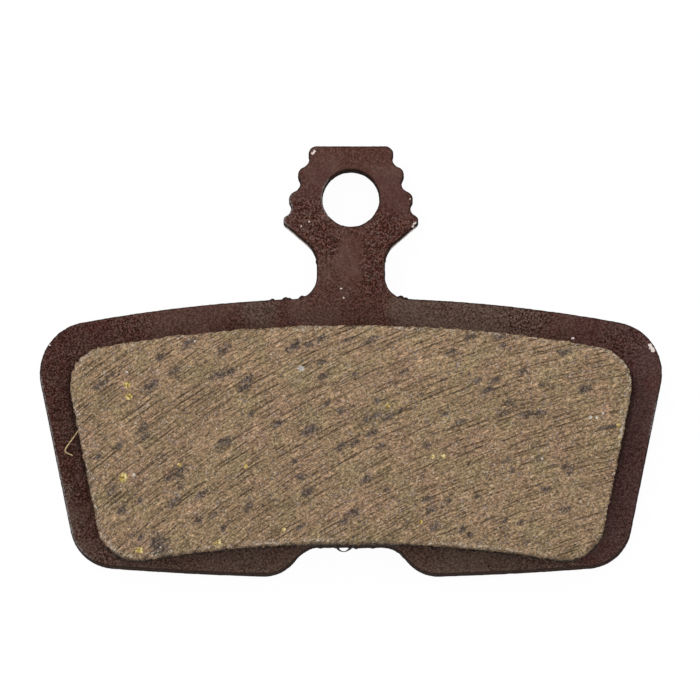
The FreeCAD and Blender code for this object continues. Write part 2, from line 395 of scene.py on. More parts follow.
class Shader:
    """A material's node tree, with short calls for the nodes that the finishes use."""

    def __init__(self, name: str) -> None:
        """Starts a material whose coordinates are the object's own, in millimetres.

        Args:
            name: The material's name.
        """
        self.material = bpy.data.materials.new(name)
        self.material.use_nodes = True
        tree = self.material.node_tree
        self.nodes, self.links = tree.nodes, tree.links
        self.surface = self.nodes["Principled BSDF"]
        self.output = self.nodes["Material Output"]
        place = self.nodes.new("ShaderNodeTexCoord").outputs["Object"]
        self.place = self.scaled(place, 1 / MM)

    def feed(self, socket: bpy.types.NodeSocket, value: Feed) -> None:
        """Links a socket to another, or sets its value.

        Args:
            socket: The input to feed.
            value: An output to link, or a plain value.
        """
        if isinstance(value, bpy.types.NodeSocket):
            self.links.new(value, socket)
        elif isinstance(value, tuple) and socket.type == "RGBA":
            socket.default_value = (*value, 1.0)
        else:
            socket.default_value = value

    def math(self, operation: str, *terms: Feed) -> bpy.types.NodeSocket:
        """Adds a Math node.

        Args:
            operation: The node's operation.
            terms: Its inputs, in order.

        Returns:
            The result.
        """
        node = self.nodes.new("ShaderNodeMath")
        node.operation = operation
        for socket, term in zip(node.inputs, terms):
            self.feed(socket, term)
        return node.outputs[0]

    def product(self, *terms: Feed) -> bpy.types.NodeSocket:
        """Multiplies two or more numbers.

        Args:
            terms: The numbers.

        Returns:
            Their product.
        """
        result = terms[0]
        for term in terms[1:]:
            result = self.math("MULTIPLY", result, term)
        return result

    def line(self, value: Feed, gain: Feed, base: Feed) -> bpy.types.NodeSocket:
        """Multiplies a number by a gain and adds a base."""
        return self.math("MULTIPLY_ADD", value, gain, base)

    def scaled(self, vector: Feed, factor: Feed) -> bpy.types.NodeSocket:
        """Multiplies a vector or colour by a number.

        Args:
            vector: The vector or colour.
            factor: The number.

        Returns:
            The product.
        """
        node = self.nodes.new("ShaderNodeVectorMath")
        node.operation = "SCALE"
        self.feed(node.inputs[0], vector)
        self.feed(node.inputs["Scale"], factor)
        return node.outputs[0]

    def vector(self, x: Feed, y: Feed, z: Feed) -> bpy.types.NodeSocket:
        """Puts three numbers together.

        Args:
            x: The first number.
            y: The second number.
            z: The third number.

        Returns:
            The vector.
        """
        node = self.nodes.new("ShaderNodeCombineXYZ")
        for socket, value in zip(node.inputs, (x, y, z)):
            self.feed(socket, value)
        return node.outputs[0]

    def parts(self, vector: Feed) -> tuple[bpy.types.NodeSocket, ...]:
        """Takes a vector apart.

        Args:
            vector: The vector or colour.

        Returns:
            Its three numbers.
        """
        node = self.nodes.new("ShaderNodeSeparateXYZ")
        self.feed(node.inputs[0], vector)
        return tuple(node.outputs)

    def noise(self, place: Feed, cloud: Cloud) -> bpy.types.NodeSocket:
        """Adds a Noise Texture.

        Args:
            place: Where it is read.
            cloud: The noise.

        Returns:
            A value from 0 to 1, mostly near a half.
        """
        node = self.nodes.new("ShaderNodeTexNoise")
        self.feed(node.inputs["Vector"], place)
        node.inputs["Scale"].default_value = cloud.scale
        node.inputs["Detail"].default_value = cloud.detail
        node.inputs["Roughness"].default_value = cloud.rough
        return node.outputs["Fac"]

    def grains(self, scale: float) -> tuple[bpy.types.NodeSocket, ...]:
        """Adds a Voronoi Texture whose cells are grains.

        Args:
            scale: How many grains there are in a millimetre.

        Returns:
            Three numbers from 0 to 1 that are even within a grain and differ between grains, and
            how far off its middle lies, where 1 is a grain's width.
        """
        node = self.nodes.new("ShaderNodeTexVoronoi")
        self.feed(node.inputs["Vector"], self.place)
        node.inputs["Scale"].default_value = scale
        return (*self.parts(node.outputs["Color"]), node.outputs["Distance"])

    def cells(self, x: Feed, y: Feed) -> tuple[tuple[bpy.types.NodeSocket, ...], ...]:
        """Adds a flat Voronoi Texture with one cell in each unit of area.

        Args:
            x: Where it is read along its first axis.
            y: Where it is read along its second axis.

        Returns:
            The place of the cell's centre, and three numbers from 0 to 1 that differ between cells.
        """
        node = self.nodes.new("ShaderNodeTexVoronoi")
        node.voronoi_dimensions = "2D"
        self.feed(node.inputs["Vector"], self.vector(x, y, 0.0))
        node.inputs["Scale"].default_value = 1.0
        return self.parts(node.outputs["Position"]), self.parts(node.outputs["Color"])

    def ramp(
        self, value: Feed, low: Feed, high: Feed, start: float = 0.0, end: float = 1.0
    ) -> bpy.types.NodeSocket:
        """Eases a value from one range into another.

        Args:
            value: The value to ease.
            low: Where the result is start.
            high: Where the result is end.
            start: The result at low.
            end: The result at high.

        Returns:
            The eased value.
        """
        node = self.nodes.new("ShaderNodeMapRange")
        node.interpolation_type = "SMOOTHSTEP"
        names = "Value", "From Min", "From Max", "To Min", "To Max"
        for name, number in zip(names, (value, low, high, start, end)):
            self.feed(node.inputs[name], number)
        return node.outputs[0]

    def ease(self, value: Feed, ease: Ease) -> bpy.types.NodeSocket:
        """Takes a value through a smooth step."""
        return self.ramp(value, ease.low, ease.high, ease.start, ease.end)

    def mix(self, share: Feed, first: Feed, second: Feed) -> bpy.types.NodeSocket:
        """Mixes two colours.

        Args:
            share: How much of the second colour is used.
            first: The first colour.
            second: The second colour.

        Returns:
            The mixed colour.
        """
        node = self.nodes.new("ShaderNodeMix")
        node.data_type = "RGBA"
        colours = [socket for socket in node.inputs if socket.type == "RGBA"]
        self.feed(node.inputs["Factor"], share)
        self.feed(colours[0], first)
        self.feed(colours[1], second)
        return next(socket for socket in node.outputs if socket.type == "RGBA")

    def layer(self, layer: Layer) -> bpy.types.NodeSocket:
        """Reads what the mesh stores at each point.

        Args:
            layer: Which of its layers.

        Returns:
            The stored value.
        """
        node = self.nodes.new("ShaderNodeAttribute")
        node.attribute_name = layer.value
        return node.outputs["Fac"]

    def bump(self, height: Feed, depth: float) -> None:
        """Roughens the surface.

        Args:
            height: The relief, from 0 to 1.
            depth: How far apart 0 and 1 lie, in millimetres.
        """
        node = self.nodes.new("ShaderNodeBump")
        node.inputs["Strength"].default_value = 1.0
        node.inputs["Distance"].default_value = depth * MM
        self.feed(node.inputs["Height"], height)
        self.links.new(node.outputs["Normal"], self.surface.inputs["Normal"])

    def set(self, **values: Feed) -> None:
        """Feeds the surface's inputs.

        Args:
            values: Each input's name, with underscores for its spaces, and what it gets.
        """
        for name, value in values.items():
            self.feed(self.surface.inputs[name.replace("_", " ")], value)


@dataclass(frozen=True)
class PrimerFinish:
    """Thin red-brown primer on steel.

    The base colour has the primer's satin sheen painted in, with painted shade in dark red pits
    and painted highlights on paler crests where it is speckled. Dust, wine-red places, painted
    shade along the block's foot, dark sheared walls with painted shade on the rim next to them,
    painted highlights on rolled edges, a painted cool reflection at the right end, painted light
    that makes the lower edge greyer and paler, and bare steel lie where the mesh or the place
    says. Each Ease or number after the colours says how far the thing it is named for goes.
    """

    # The primer's base colours, this and red below, have its satin sheen painted in.
    primer_with_sheen: Colour = (0.135, 0.071, 0.056)
    red: Colour = (0.113, 0.050, 0.038)
    dust: Colour = (0.152, 0.105, 0.080)
    # Greyer, paler colour towards the lower edge: painted light.
    lower_edge_light: Colour = (0.1368, 0.0945, 0.072)
    # Cool tone at the right end: a painted reflection.
    cool_reflection: Colour = (0.102, 0.057, 0.055)
    wine: Colour = (0.104, 0.043, 0.038)
    # Pale grey of a painted highlight on the rolled edges.
    edge_highlight: Colour = (0.30, 0.27, 0.26)
    # Dark red of the pits: painted shade where the rough coat shows less sheen.
    shaded_pit: Colour = (0.040, 0.008, 0.004)
    # Paler colour of the crests: a painted highlight.
    crest_highlight: Colour = (0.190, 0.120, 0.102)
    # Dark of the painted shade along the block's foot.
    painted_foot_shade: Colour = (0.020, 0.008, 0.006)
    # The walls' own dark sheared steel; the same dark is painted as shade on the rim next to them.
    sheared: Colour = (0.017, 0.009, 0.007)
    steel: Colour = (0.74, 0.64, 0.60)

    mottle: Cloud = Cloud(6.2, 2.0, 0.65)
    drift: Cloud = Cloud(0.42, 3.0, 0.55)
    tatter: Cloud = Cloud(8.0)
    fine_grains: float = 12.0
    dot_grains: float = 4.8
    speck_grains: float = 9.0

    drift_weight: Ease = Ease(0.36, 0.66, 0.30, 0.58)
    speckle_weight: float = 0.90
    dot_shape: Ease = Ease(0.50, 0.15)
    dot_choice: Ease = Ease(0.25, 0.85)
    dot_upward: Ease = Ease(-7.5, -5.0, 0.45, 1.0)
    speck_shape: Ease = Ease(0.50, 0.20)
    speck_choice: Ease = Ease(0.38, 1.0)
    pit_choice: Ease = Ease(0.58, 0.38)
    pit_off_crests: Ease = Ease(0.5, 0.0)
    grain_contrast: float = 1.45
    crest_highlight_share: float = 0.80
    lone_highlight: Ease = Ease(0.988, 0.996, 0.0, 0.8)

    red_share: Ease = Ease(0.38, 0.62)
    dust_share: Ease = Ease(0.0, 0.7, 0.0, 0.9)
    lower_edge_light_share: Ease = Ease(-21.0, -24.0, 0.0, 0.7)
    cool_reflection_share: Ease = Ease(14.5, 18.5, 0.0, 0.65)
    wine_share: Ease = Ease(0.0, 0.8, 0.0, 0.75)
    left_shade: Ease = Ease(-20.5, -15.5, 0.77, 1.0)

    foot_shade_patches: Ease = Ease(0.3, 0.7, 1.25, 0.75)
    foot_shade_share: Ease = Ease(0.1, 1.0, 0.0, 0.85)
    sheared_wall: Ease = Ease(0.10, 0.5)
    edge_shade_rim: Ease = Ease(0.25, 0.80)
    dark_edge_share: float = 0.85
    nicks: Ease = Ease(0.06, 0.02, 1.0, 0.2)
    crown_inside: Ease = Ease(0.28, 0.52)
    crown_outside: Ease = Ease(0.95, 0.72)
    edge_highlight_share: Ease = Ease(0.0, 0.5, 0.0, 0.8)
    edge_highlight_breaks: Ease = Ease(0.38, 0.60, 0.15, 1.0)
    bare_tatter: float = 0.9
    bare_share: Ease = Ease(0.92, 1.12)

    satin: Ease = Ease(0.35, 0.7, 0.38, 0.52)
    wall_roughness: float = 0.55
    specular: float = 0.05
    relief: float = 0.03

    def build(self) -> bpy.types.Material:
        """Makes the material.

        Returns:
            The material.
        """
        shader = Shader(Slot.COATED_STEEL.value)
        mottle = shader.noise(shader.place, self.mottle)
        drift = shader.noise(shader.place, self.drift)
        tone, _, chance, _ = shader.grains(self.fine_grains)
        speckled = shader.layer(Layer.SPECKLE)
        drifting = shader.ease(drift, self.drift_weight)
        weight = shader.line(speckled, self.speckle_weight, drifting)
        crests = self.crests(shader, weight)
        off_crests = shader.ease(crests, self.pit_off_crests)
        pits = shader.product(shader.ease(mottle, self.pit_choice), off_crests, weight)
        uneven = shader.product(shader.math("SUBTRACT", tone, 0.5), weight)
        colour = self.tint(shader, drift)
        colour = shader.scaled(colour, shader.line(uneven, self.grain_contrast, 1.0))
        # Painted shade in the pits.
        colour = shader.mix(pits, colour, self.shaded_pit)
        # Painted highlights on the crests and on lone grains.
        colour = shader.mix(shader.product(crests, self.crest_highlight_share), colour, self.crest_highlight)
        colour = shader.mix(shader.ease(chance, self.lone_highlight), colour, self.crest_highlight)
        colour = self.edges(shader, colour, mottle, chance)
        tatter = shader.noise(shader.place, self.tatter)
        ragged = shader.line(tatter, self.bare_tatter, shader.layer(Layer.BARE))
        bare = shader.ease(ragged, self.bare_share)
        wall, satin = shader.layer(Layer.WALL), shader.ease(mottle, self.satin)
        shader.set(
            Base_Color=shader.mix(bare, colour, self.steel),
            Metallic=bare,
            Roughness=shader.line(wall, self.wall_roughness, satin),
            Specular_IOR_Level=self.specular,
        )
        shader.bump(shader.math("ADD", crests, mottle), self.relief)
        return shader.material

    def crests(self, shader: Shader, weight: Feed) -> bpy.types.NodeSocket:
        """Finds the crests, where highlights are painted: coarse dots, mostly on the tab, and fine
        specks.

        Args:
            shader: The material's node tree.
            weight: How speckled the primer is.

        Returns:
            How strong the painted highlights on the crests are.
        """
        up = shader.parts(shader.place)[1]
        bright, _, _, off = shader.grains(self.dot_grains)
        fair, _, _, aside = shader.grains(self.speck_grains)
        dots = shader.product(
            shader.ease(off, self.dot_shape),
            shader.ease(bright, self.dot_choice),
            shader.ease(up, self.dot_upward),
        )
        specks = shader.product(
            shader.ease(aside, self.speck_shape), shader.ease(fair, self.speck_choice)
        )
        return shader.product(shader.math("MAXIMUM", dots, specks), weight)

    def tint(self, shader: Shader, drift: Feed) -> bpy.types.NodeSocket:
        """Colours the primer before it is speckled.

        Args:
            shader: The material's node tree.
            drift: Slow noise.

        Returns:
            The colour, darker towards the pad's left end.
        """
        along, up, _ = shader.parts(shader.place)
        colour = self.primer_with_sheen
        for value, share, coat in (
            (drift, self.red_share, self.red),
            (shader.layer(Layer.DUST), self.dust_share, self.dust),
            # Painted light: greyer and paler towards the pad's lower edge.
            (up, self.lower_edge_light_share, self.lower_edge_light),
            # Painted cool reflection towards the pad's right end.
            (along, self.cool_reflection_share, self.cool_reflection),
            (shader.layer(Layer.WINE), self.wine_share, self.wine),
        ):
            colour = shader.mix(shader.ease(value, share), colour, coat)
        return shader.scaled(colour, shader.ease(along, self.left_shade))

    def edges(
        self, shader: Shader, colour: Feed, mottle: Feed, chance: Feed
    ) -> bpy.types.NodeSocket:
        """Paints shade along the block's foot, darkens the sheared walls and paints shade on the
        rim next to them, and paints highlights on the rolled edges.

        Args:
            shader: The material's node tree.
            colour: The primer's colour.
            mottle: Fine noise.
            chance: A number that differs between grains.

        Returns:
            The new colour.
        """
        # Painted shade along the block's foot, broken into patches.
        seam = shader.product(shader.layer(Layer.SEAM), shader.ease(mottle, self.foot_shade_patches))
        colour = shader.mix(shader.ease(seam, self.foot_shade_share), colour, self.painted_foot_shade)
        rim = shader.layer(Layer.RIM)
        wall = shader.ease(shader.layer(Layer.WALL), self.sheared_wall)
        # Dark sheared steel on the walls, and painted shade on the rim next to them.
        edge = shader.math("MAXIMUM", wall, shader.ease(rim, self.edge_shade_rim))
        sheared = shader.product(edge, self.dark_edge_share, shader.ease(chance, self.nicks))
        colour = shader.mix(sheared, colour, self.sheared)
        # Painted highlight on the rolled edges where they catch the light.
        edge_highlights = shader.product(
            shader.ease(rim, self.crown_inside),
            shader.ease(rim, self.crown_outside),
            shader.ease(shader.layer(Layer.BURNISH), self.edge_highlight_share),
            shader.ease(mottle, self.edge_highlight_breaks),
        )
        return shader.mix(edge_highlights, colour, self.edge_highlight)


@dataclass(frozen=True)
class CompoundFinish:
    """Resin-bonded friction compound.

    Its ground face shows tan grains, graphite, brass and grinding lines, with painted highlights on
    its brass flecks, pale crumbs and glints, and its walls are dark at their foot, where moulding
    skin and painted shade lie. Each Ease, Line or number after the colours says how far the thing
    it is named for goes. A Line is a gain and a base.
    """

    tan: Colour = (0.296, 0.198, 0.115)
    olive: Colour = (0.279, 0.199, 0.110)
    rosy: Colour = (0.300, 0.190, 0.117)
    lilac: Colour = (0.225, 0.182, 0.175)
    violet: Colour = (0.214, 0.170, 0.186)
    groove: Colour = (0.050, 0.030, 0.018)
    soot: Colour = (0.038, 0.026, 0.020)
    smear: Colour = (0.155, 0.114, 0.084)
    brass: Colour = (0.58, 0.42, 0.12)
    # Cream: a painted highlight on the brass flecks.
    fleck_highlight: Colour = (0.88, 0.75, 0.42)
    # Tarnish with painted shade on the flecks.
    tarnish_and_shade: Colour = (0.22, 0.145, 0.03)
    glint: Colour = (0.72, 0.67, 0.60)
    # Pale crumbs painted brighter as sparkling highlights.
    crumb: Colour = (0.54, 0.44, 0.32)
    frayed: Colour = (0.54, 0.45, 0.36)
    # Dark of the walls' foot: moulding skin with painted shade.
    skin: Colour = (0.020, 0.014, 0.012)

    lines: Dash = Dash(pitch=0.36, length=3.6, width=0.065)
    hairs: Dash = Dash(pitch=0.19, length=1.8, width=0.055, shift=300.0)
    ridges: Dash = Dash(pitch=0.22, length=1.3, width=0.06, shift=700.0)
    brushed: Streak = Streak(pitch=0.10, length=0.27, shift=5.0, cloud=Cloud(1.0, 1.0, 0.6))
    bands: Streak = Streak(pitch=0.40, length=6.0, shift=23.0, cloud=Cloud(1.0, 3.0, 0.6))
    wander: Cloud = Cloud(0.5, 1.0)
    wander_width: float = 0.25
    dash_core: float = 0.25
    dash_end: Line = (0.5, 0.12)
    dash_taper: float = 0.5
    dash_choice: Ease = Ease(0.10, 0.70)

    coarse_grains: float = 6.5
    fine_grains: float = 12.5
    patches: Cloud = Cloud(0.45, 3.0, 0.6)
    tan_share: Ease = Ease(0.36, 0.5)
    rosy_share: Ease = Ease(0.5, 0.66)
    violet_choice: Ease = Ease(0.92, 0.97, 0.0, 0.45)

    coarse_light: float = 0.40
    upper_light: Ease = Ease(-15.0, -9.5, 0.82, 0.925)
    fine_light: Line = (0.84, 0.58)
    brushed_light: Ease = Ease(0.3, 0.7, 0.66, 1.34)
    band_light: Ease = Ease(0.3, 0.7, 0.88, 1.12)
    hair_light: Line = (-0.60, 1.07)
    ridge_light: Line = (0.40, 0.97)
    crumb_choice: Ease = Ease(0.938, 0.970, 0.0, 0.80)
    groove_along: Ease = Ease(-12.0, 14.0, 0.96, 0.78)
    groove_breaks: Ease = Ease(0.32, 0.58, 1.0, 0.66)

    clump_tear: Cloud = Cloud(3.8, 3.0, 0.75)
    clump_ragged: float = 3.0
    clump_share: Ease = Ease(1.70, 2.35)
    clump_cover: float = 0.80
    stray: Cloud = Cloud(1.5)
    stray_share: Ease = Ease(0.60, 0.80, 0.0, 0.5)
    halo_share: Ease = Ease(0.58, 1.15, 0.0, 0.45)
    smear_light: Ease = Ease(0.1, 0.9, 0.5, 1.6)
    lilac_patches: Cloud = Cloud(4.5, 3.0, 0.7)
    lilac_share: Ease = Ease(0.60, 0.42)
    lilac_choice: Ease = Ease(0.25, 0.90)

    fleck_tear: Cloud = Cloud(3.6, 2.0, 0.6)
    fleck_ragged: float = 0.8
    brass_share: Ease = Ease(0.84, 0.98)
    glint_share: Ease = Ease(0.92, 1.06)
    brass_choice: Ease = Ease(0.9955, 0.9975, 0.0, 0.55)
    glint_choice: Ease = Ease(0.0030, 0.0015, 0.0, 0.7)
    shine: Cloud = Cloud(5.5, 1.0)
    bright_share: Ease = Ease(0.38, 0.50)
    fleck_highlight_share: Ease = Ease(0.52, 0.64)
    glint_light: Line = (0.7, 0.5)
    brass_metallic: float = 0.25

    fray_share: Line = (0.58, 0.24)
    fray_choice: Ease = Ease(0.95, 1.06, 0.0, 0.85)
    fray_light: Ease = Ease(0.0, 1.0, 0.6, 1.2)

    skin_tear: Cloud = Cloud(5.0, 3.0, 0.7)
    skin_ragged: float = 3.0
    ground_face: Ease = Ease(0.80, 0.40)
    ground_wall: Ease = Ease(2.3, 3.9, 0.0, 0.85)
    skin_light: Ease = Ease(0.3, 0.7, 0.5, 1.6)

    line_relief: float = -0.9
    band_relief: float = 0.4
    relief: float = 0.04
    soot_gloss: Ease = Ease(0.0, 1.0, 0.80, 0.60)
    specular: float = 0.14

    def build(self) -> bpy.types.Material:
        """Makes the material.

        Returns:
            The material.
        """
        shader = Shader(Slot.FRICTION_COMPOUND.value)
        along, up, height = shader.parts(shader.place)
        arcs = self.arcs(shader)
        lines, hairs, ridges = (
            self.dashes(shader, arcs, dash) for dash in (self.lines, self.hairs, self.ridges)
        )
        brushed, bands = (
            self.streaks(shader, arcs, streak) for streak in (self.brushed, self.bands)
        )
        coarse, hue, _, _ = shader.grains(self.coarse_grains)
        tone, spread, chance, _ = shader.grains(self.fine_grains)
        light = shader.product(
            shader.line(coarse, self.coarse_light, shader.ease(up, self.upper_light)),
            shader.line(tone, *self.fine_light),
            shader.ease(brushed, self.brushed_light),
            shader.ease(bands, self.band_light),
            shader.line(hairs, *self.hair_light),
            shader.line(ridges, *self.ridge_light),
        )
        deep = shader.product(
            shader.ease(along, self.groove_along), shader.ease(brushed, self.groove_breaks)
        )
        colour = shader.scaled(self.grain_colour(shader, hue), light)
        # Pale crumbs with painted sparkle.
        colour = shader.mix(shader.ease(spread, self.crumb_choice), colour, self.crumb)
        colour = shader.mix(shader.product(lines, deep), colour, self.groove)
        colour, soot = self.graphite(shader, colour, tone)
        colour, metal = self.metals(shader, colour, tone, chance)
        colour = self.crumbs(shader, colour, tone, spread)
        # The walls' foot is dark with moulding skin and painted shade.
        skin, ground = self.walls(shader, height)
        relief = shader.line(bands, self.band_relief, brushed)
        relief = shader.product(shader.line(lines, self.line_relief, relief), ground)
        shader.set(
            Base_Color=shader.mix(ground, skin, colour),
            Metallic=shader.product(metal, ground),
            Roughness=shader.ease(soot, self.soot_gloss),
            Specular_IOR_Level=self.specular,
        )
        shader.bump(relief, self.relief)
        return shader.material

    def arcs(self, shader: Shader) -> tuple[bpy.types.NodeSocket, bpy.types.NodeSocket]:
        """Finds the grinding's arcs, which wander a little.

        Args:
            shader: The material's node tree.

        Returns:
            The place across the arcs, and along them.
        """
        x, y, _ = shader.parts(shader.place)
        across = shader.math("SUBTRACT", x, GRINDING.x)
        up = shader.math("SUBTRACT", y, GRINDING.y)
        squares = shader.line(across, across, shader.product(up, up))
        wander = shader.product(shader.noise(shader.place, self.wander), self.wander_width)
        radius = shader.math("ADD", shader.math("SQRT", squares), wander)
        along = shader.product(shader.math("ARCTAN2", up, across), GRINDING.radius)
        return radius, along

    def streaks(
        self, shader: Shader, arcs: tuple[Feed, Feed], streak: Streak
    ) -> bpy.types.NodeSocket:
        """Draws noise out along the arcs.

        Args:
            shader: The material's node tree.
            arcs: The place across the arcs, and along them.
            streak: The noise.

        Returns:
            A value from 0 to 1, mostly near a half.
        """
        radius, along = arcs
        step = shader.product(radius, 1 / streak.pitch)
        run = shader.product(along, 1 / streak.length)
        return shader.noise(shader.vector(step, run, streak.shift), streak.cloud)

    def dashes(
        self, shader: Shader, arcs: tuple[Feed, Feed], dash: Dash
    ) -> bpy.types.NodeSocket:
        """Draws thin dashes of many lengths and strengths.

        Args:
            shader: The material's node tree.
            arcs: The place across the arcs, and along them.
            dash: The dashes.

        Returns:
            From 0 to 1, how strong a dash is.
        """
        radius, along = arcs
        step = shader.line(radius, 1 / dash.pitch, dash.shift)
        run = shader.product(along, 1 / dash.length)
        (middle, halfway, _), (reach, strength, _) = shader.cells(step, run)
        aside = shader.math("ABSOLUTE", shader.math("SUBTRACT", step, middle))
        ahead = shader.math("ABSOLUTE", shader.math("SUBTRACT", run, halfway))
        half = dash.width / dash.pitch
        thin = shader.ramp(aside, half, half * self.dash_core)
        end = shader.line(reach, *self.dash_end)
        ended = shader.ramp(ahead, end, shader.product(end, self.dash_taper))
        return shader.product(thin, ended, shader.ease(strength, self.dash_choice))

    def grain_colour(self, shader: Shader, hue: Feed) -> bpy.types.NodeSocket:
        """Colours the resin and its grains.

        Args:
            shader: The material's node tree.
            hue: A number that differs between grains.

        Returns:
            The colour before light and dark are put on it.
        """
        patches = shader.noise(shader.place, self.patches)
        colour = shader.mix(shader.ease(patches, self.tan_share), self.olive, self.tan)
        colour = shader.mix(shader.ease(patches, self.rosy_share), colour, self.rosy)
        return shader.mix(shader.ease(hue, self.violet_choice), colour, self.violet)

    def graphite(
        self, shader: Shader, colour: Feed, tone: Feed
    ) -> tuple[bpy.types.NodeSocket, bpy.types.NodeSocket]:
        """Lays the graphite clumps and their smears over the grains.

        Args:
            shader: The material's node tree.
            colour: The grains' colour.
            tone: A number that differs between grains.

        Returns:
            The new colour, and how much graphite there is.
        """
        torn = shader.noise(shader.place, self.clump_tear)
        stray = shader.ease(shader.noise(shader.place, self.stray), self.stray_share)
        amount = shader.math("MAXIMUM", shader.layer(Layer.GRAPHITE), stray)
        halo = shader.ease(shader.math("ADD", torn, amount), self.halo_share)
        smear = shader.scaled(self.smear, shader.ease(tone, self.smear_light))
        colour = shader.mix(halo, colour, smear)
        mask = shader.ease(shader.line(torn, self.clump_ragged, amount), self.clump_share)
        depth = shader.ease(shader.noise(shader.place, self.lilac_patches), self.lilac_share)
        shade = shader.product(shader.ease(tone, self.lilac_choice), depth)
        clump = shader.mix(shade, self.soot, self.lilac)
        return shader.mix(shader.product(mask, self.clump_cover), colour, clump), mask

    def metals(
        self, shader: Shader, colour: Feed, tone: Feed, chance: Feed
    ) -> tuple[bpy.types.NodeSocket, bpy.types.NodeSocket]:
        """Lays brass flecks, with painted highlights and shade on them, and bright glints, which
        are painted highlights, over the compound.

        Args:
            shader: The material's node tree.
            colour: The colour under them.
            tone: A number that differs between grains.
            chance: Another such number.

        Returns:
            The new colour, and how metallic it is.
        """
        torn = shader.product(shader.noise(shader.place, self.fleck_tear), self.fleck_ragged)
        brass, glint = (
            shader.ease(shader.math("ADD", torn, shader.layer(layer)), share)
            for layer, share in ((Layer.BRASS, self.brass_share), (Layer.GLINT, self.glint_share))
        )
        shine = shader.noise(shader.place, self.shine)
        # Each fleck goes from painted shade with tarnish, through brass, to a painted highlight.
        fleck = shader.mix(shader.ease(shine, self.bright_share), self.tarnish_and_shade, self.brass)
        fleck = shader.mix(shader.ease(shine, self.fleck_highlight_share), fleck, self.fleck_highlight)
        yellow = shader.math("MAXIMUM", brass, shader.ease(chance, self.brass_choice))
        colour = shader.mix(yellow, colour, fleck)
        spark = shader.scaled(self.glint, shader.line(tone, *self.glint_light))
        white = shader.math("MAXIMUM", glint, shader.ease(chance, self.glint_choice))
        colour = shader.mix(white, colour, spark)
        return colour, shader.product(brass, self.brass_metallic)

    def crumbs(
        self, shader: Shader, colour: Feed, tone: Feed, spread: Feed
    ) -> bpy.types.NodeSocket:
        """Lightens the torn crumbs along the face's rim, most of all where it is frayed.

        Args:
            shader: The material's node tree.
            colour: The colour under them.
            tone: A number that differs between grains.
            spread: Another such number.

        Returns:
            The new colour.
        """
        share = shader.line(shader.layer(Layer.FRAY), *self.fray_share)
        edge = shader.product(shader.layer(Layer.RIM), share)
        loose = shader.ease(shader.math("ADD", edge, spread), self.fray_choice)
        crumb = shader.scaled(self.frayed, shader.ease(tone, self.fray_light))
        return shader.mix(loose, colour, crumb)

    def walls(
        self, shader: Shader, height: Feed
    ) -> tuple[bpy.types.NodeSocket, bpy.types.NodeSocket]:
        """Finds the moulded walls, which are dark at their foot: moulding skin with painted shade.

        Args:
            shader: The material's node tree.
            height: The height over the pad's back.

        Returns:
            The colour of the moulded skin with painted shade, and how little of it there is.
        """
        torn = shader.noise(shader.place, self.skin_tear)
        level = shader.line(shader.math("SUBTRACT", torn, 0.5), self.skin_ragged, height)
        face = shader.ease(shader.layer(Layer.WALL), self.ground_face)
        ground = shader.math("MAXIMUM", face, shader.ease(level, self.ground_wall))
        return shader.scaled(self.skin, shader.ease(torn, self.skin_light)), ground


@dataclass(frozen=True)
class StrandFinish:
    """A thin strand, dulled in places.

    Attributes:
        name: The material's name.
        bright: Its colour where it is clean.
        dull: Its colour where it is dulled.
        metallic: How metallic it is.
        patches: The noise that places the dull stretches.
        dull_share: How far that noise dulls it.
        satin: Its roughness, by the same noise.
    """

    name: str
    bright: Colour
    dull: Colour
    metallic: float
    patches: Cloud = Cloud(4.0)
    dull_share: Ease = Ease(0.4, 0.65)
    satin: Ease = Ease(0.3, 0.7, 0.35, 0.55)

    def build(self) -> bpy.types.Material:
        """Makes the material.

        Returns:
            The material.
        """
        shader = Shader(self.name)
        patches = shader.noise(shader.place, self.patches)
        shader.set(
            Base_Color=shader.mix(shader.ease(patches, self.dull_share), self.bright, self.dull),
            Metallic=self.metallic,
            Roughness=shader.ease(patches, self.satin),
        )
        return shader.material


@dataclass(frozen=True)
class FloorFinish:
    """A white floor that keeps a faint shadow.

    It is clear from below, and to rays that have only just left the pad's back, so that light from
    below reaches that.

    Attributes:
        glow: Its own brightness, where 1 is white.
        shade: How much of the light and shade on it shows.
        bounce: How much light it throws back on the pad.
        gap: The length of the rays that it lets through.
    """

    glow: float = 0.96
    shade: float = 0.06
    bounce: float = 0.80
    gap: float = 0.05

    def build(self) -> bpy.types.Material:
        """Makes the material.

        Returns:
            The material.
        """
        shader = Shader("white_floor")
        shader.set(Base_Color=(self.bounce,) * 3, Roughness=1.0, Specular_IOR_Level=0.0)
        nodes, links = shader.nodes, shader.links
        glow = nodes.new("ShaderNodeEmission")
        glow.inputs["Strength"].default_value = self.glow
        shade = nodes.new("ShaderNodeBsdfDiffuse")
        shader.feed(shade.inputs["Color"], (self.shade,) * 3)
        seen = nodes.new("ShaderNodeAddShader")
        links.new(glow.outputs[0], seen.inputs[0])
        links.new(shade.outputs[0], seen.inputs[1])
        front = nodes.new("ShaderNodeMixShader")
        shader.feed(front.inputs[0], seen_directly(nodes, links))
        links.new(shader.surface.outputs[0], front.inputs[1])
        links.new(seen.outputs[0], front.inputs[2])
        behind = nodes.new("ShaderNodeNewGeometry").outputs["Backfacing"]
        length = nodes.new("ShaderNodeLightPath").outputs["Ray Length"]
        touching = shader.math("LESS_THAN", length, self.gap * MM)
        sided = nodes.new("ShaderNodeMixShader")
        shader.feed(sided.inputs[0], shader.math("MAXIMUM", behind, touching))
        links.new(front.outputs[0], sided.inputs[1])
        links.new(nodes.new("ShaderNodeBsdfTransparent").outputs[0], sided.inputs[2])
        links.new(sided.outputs[0], shader.output.inputs["Surface"])
        return shader.material


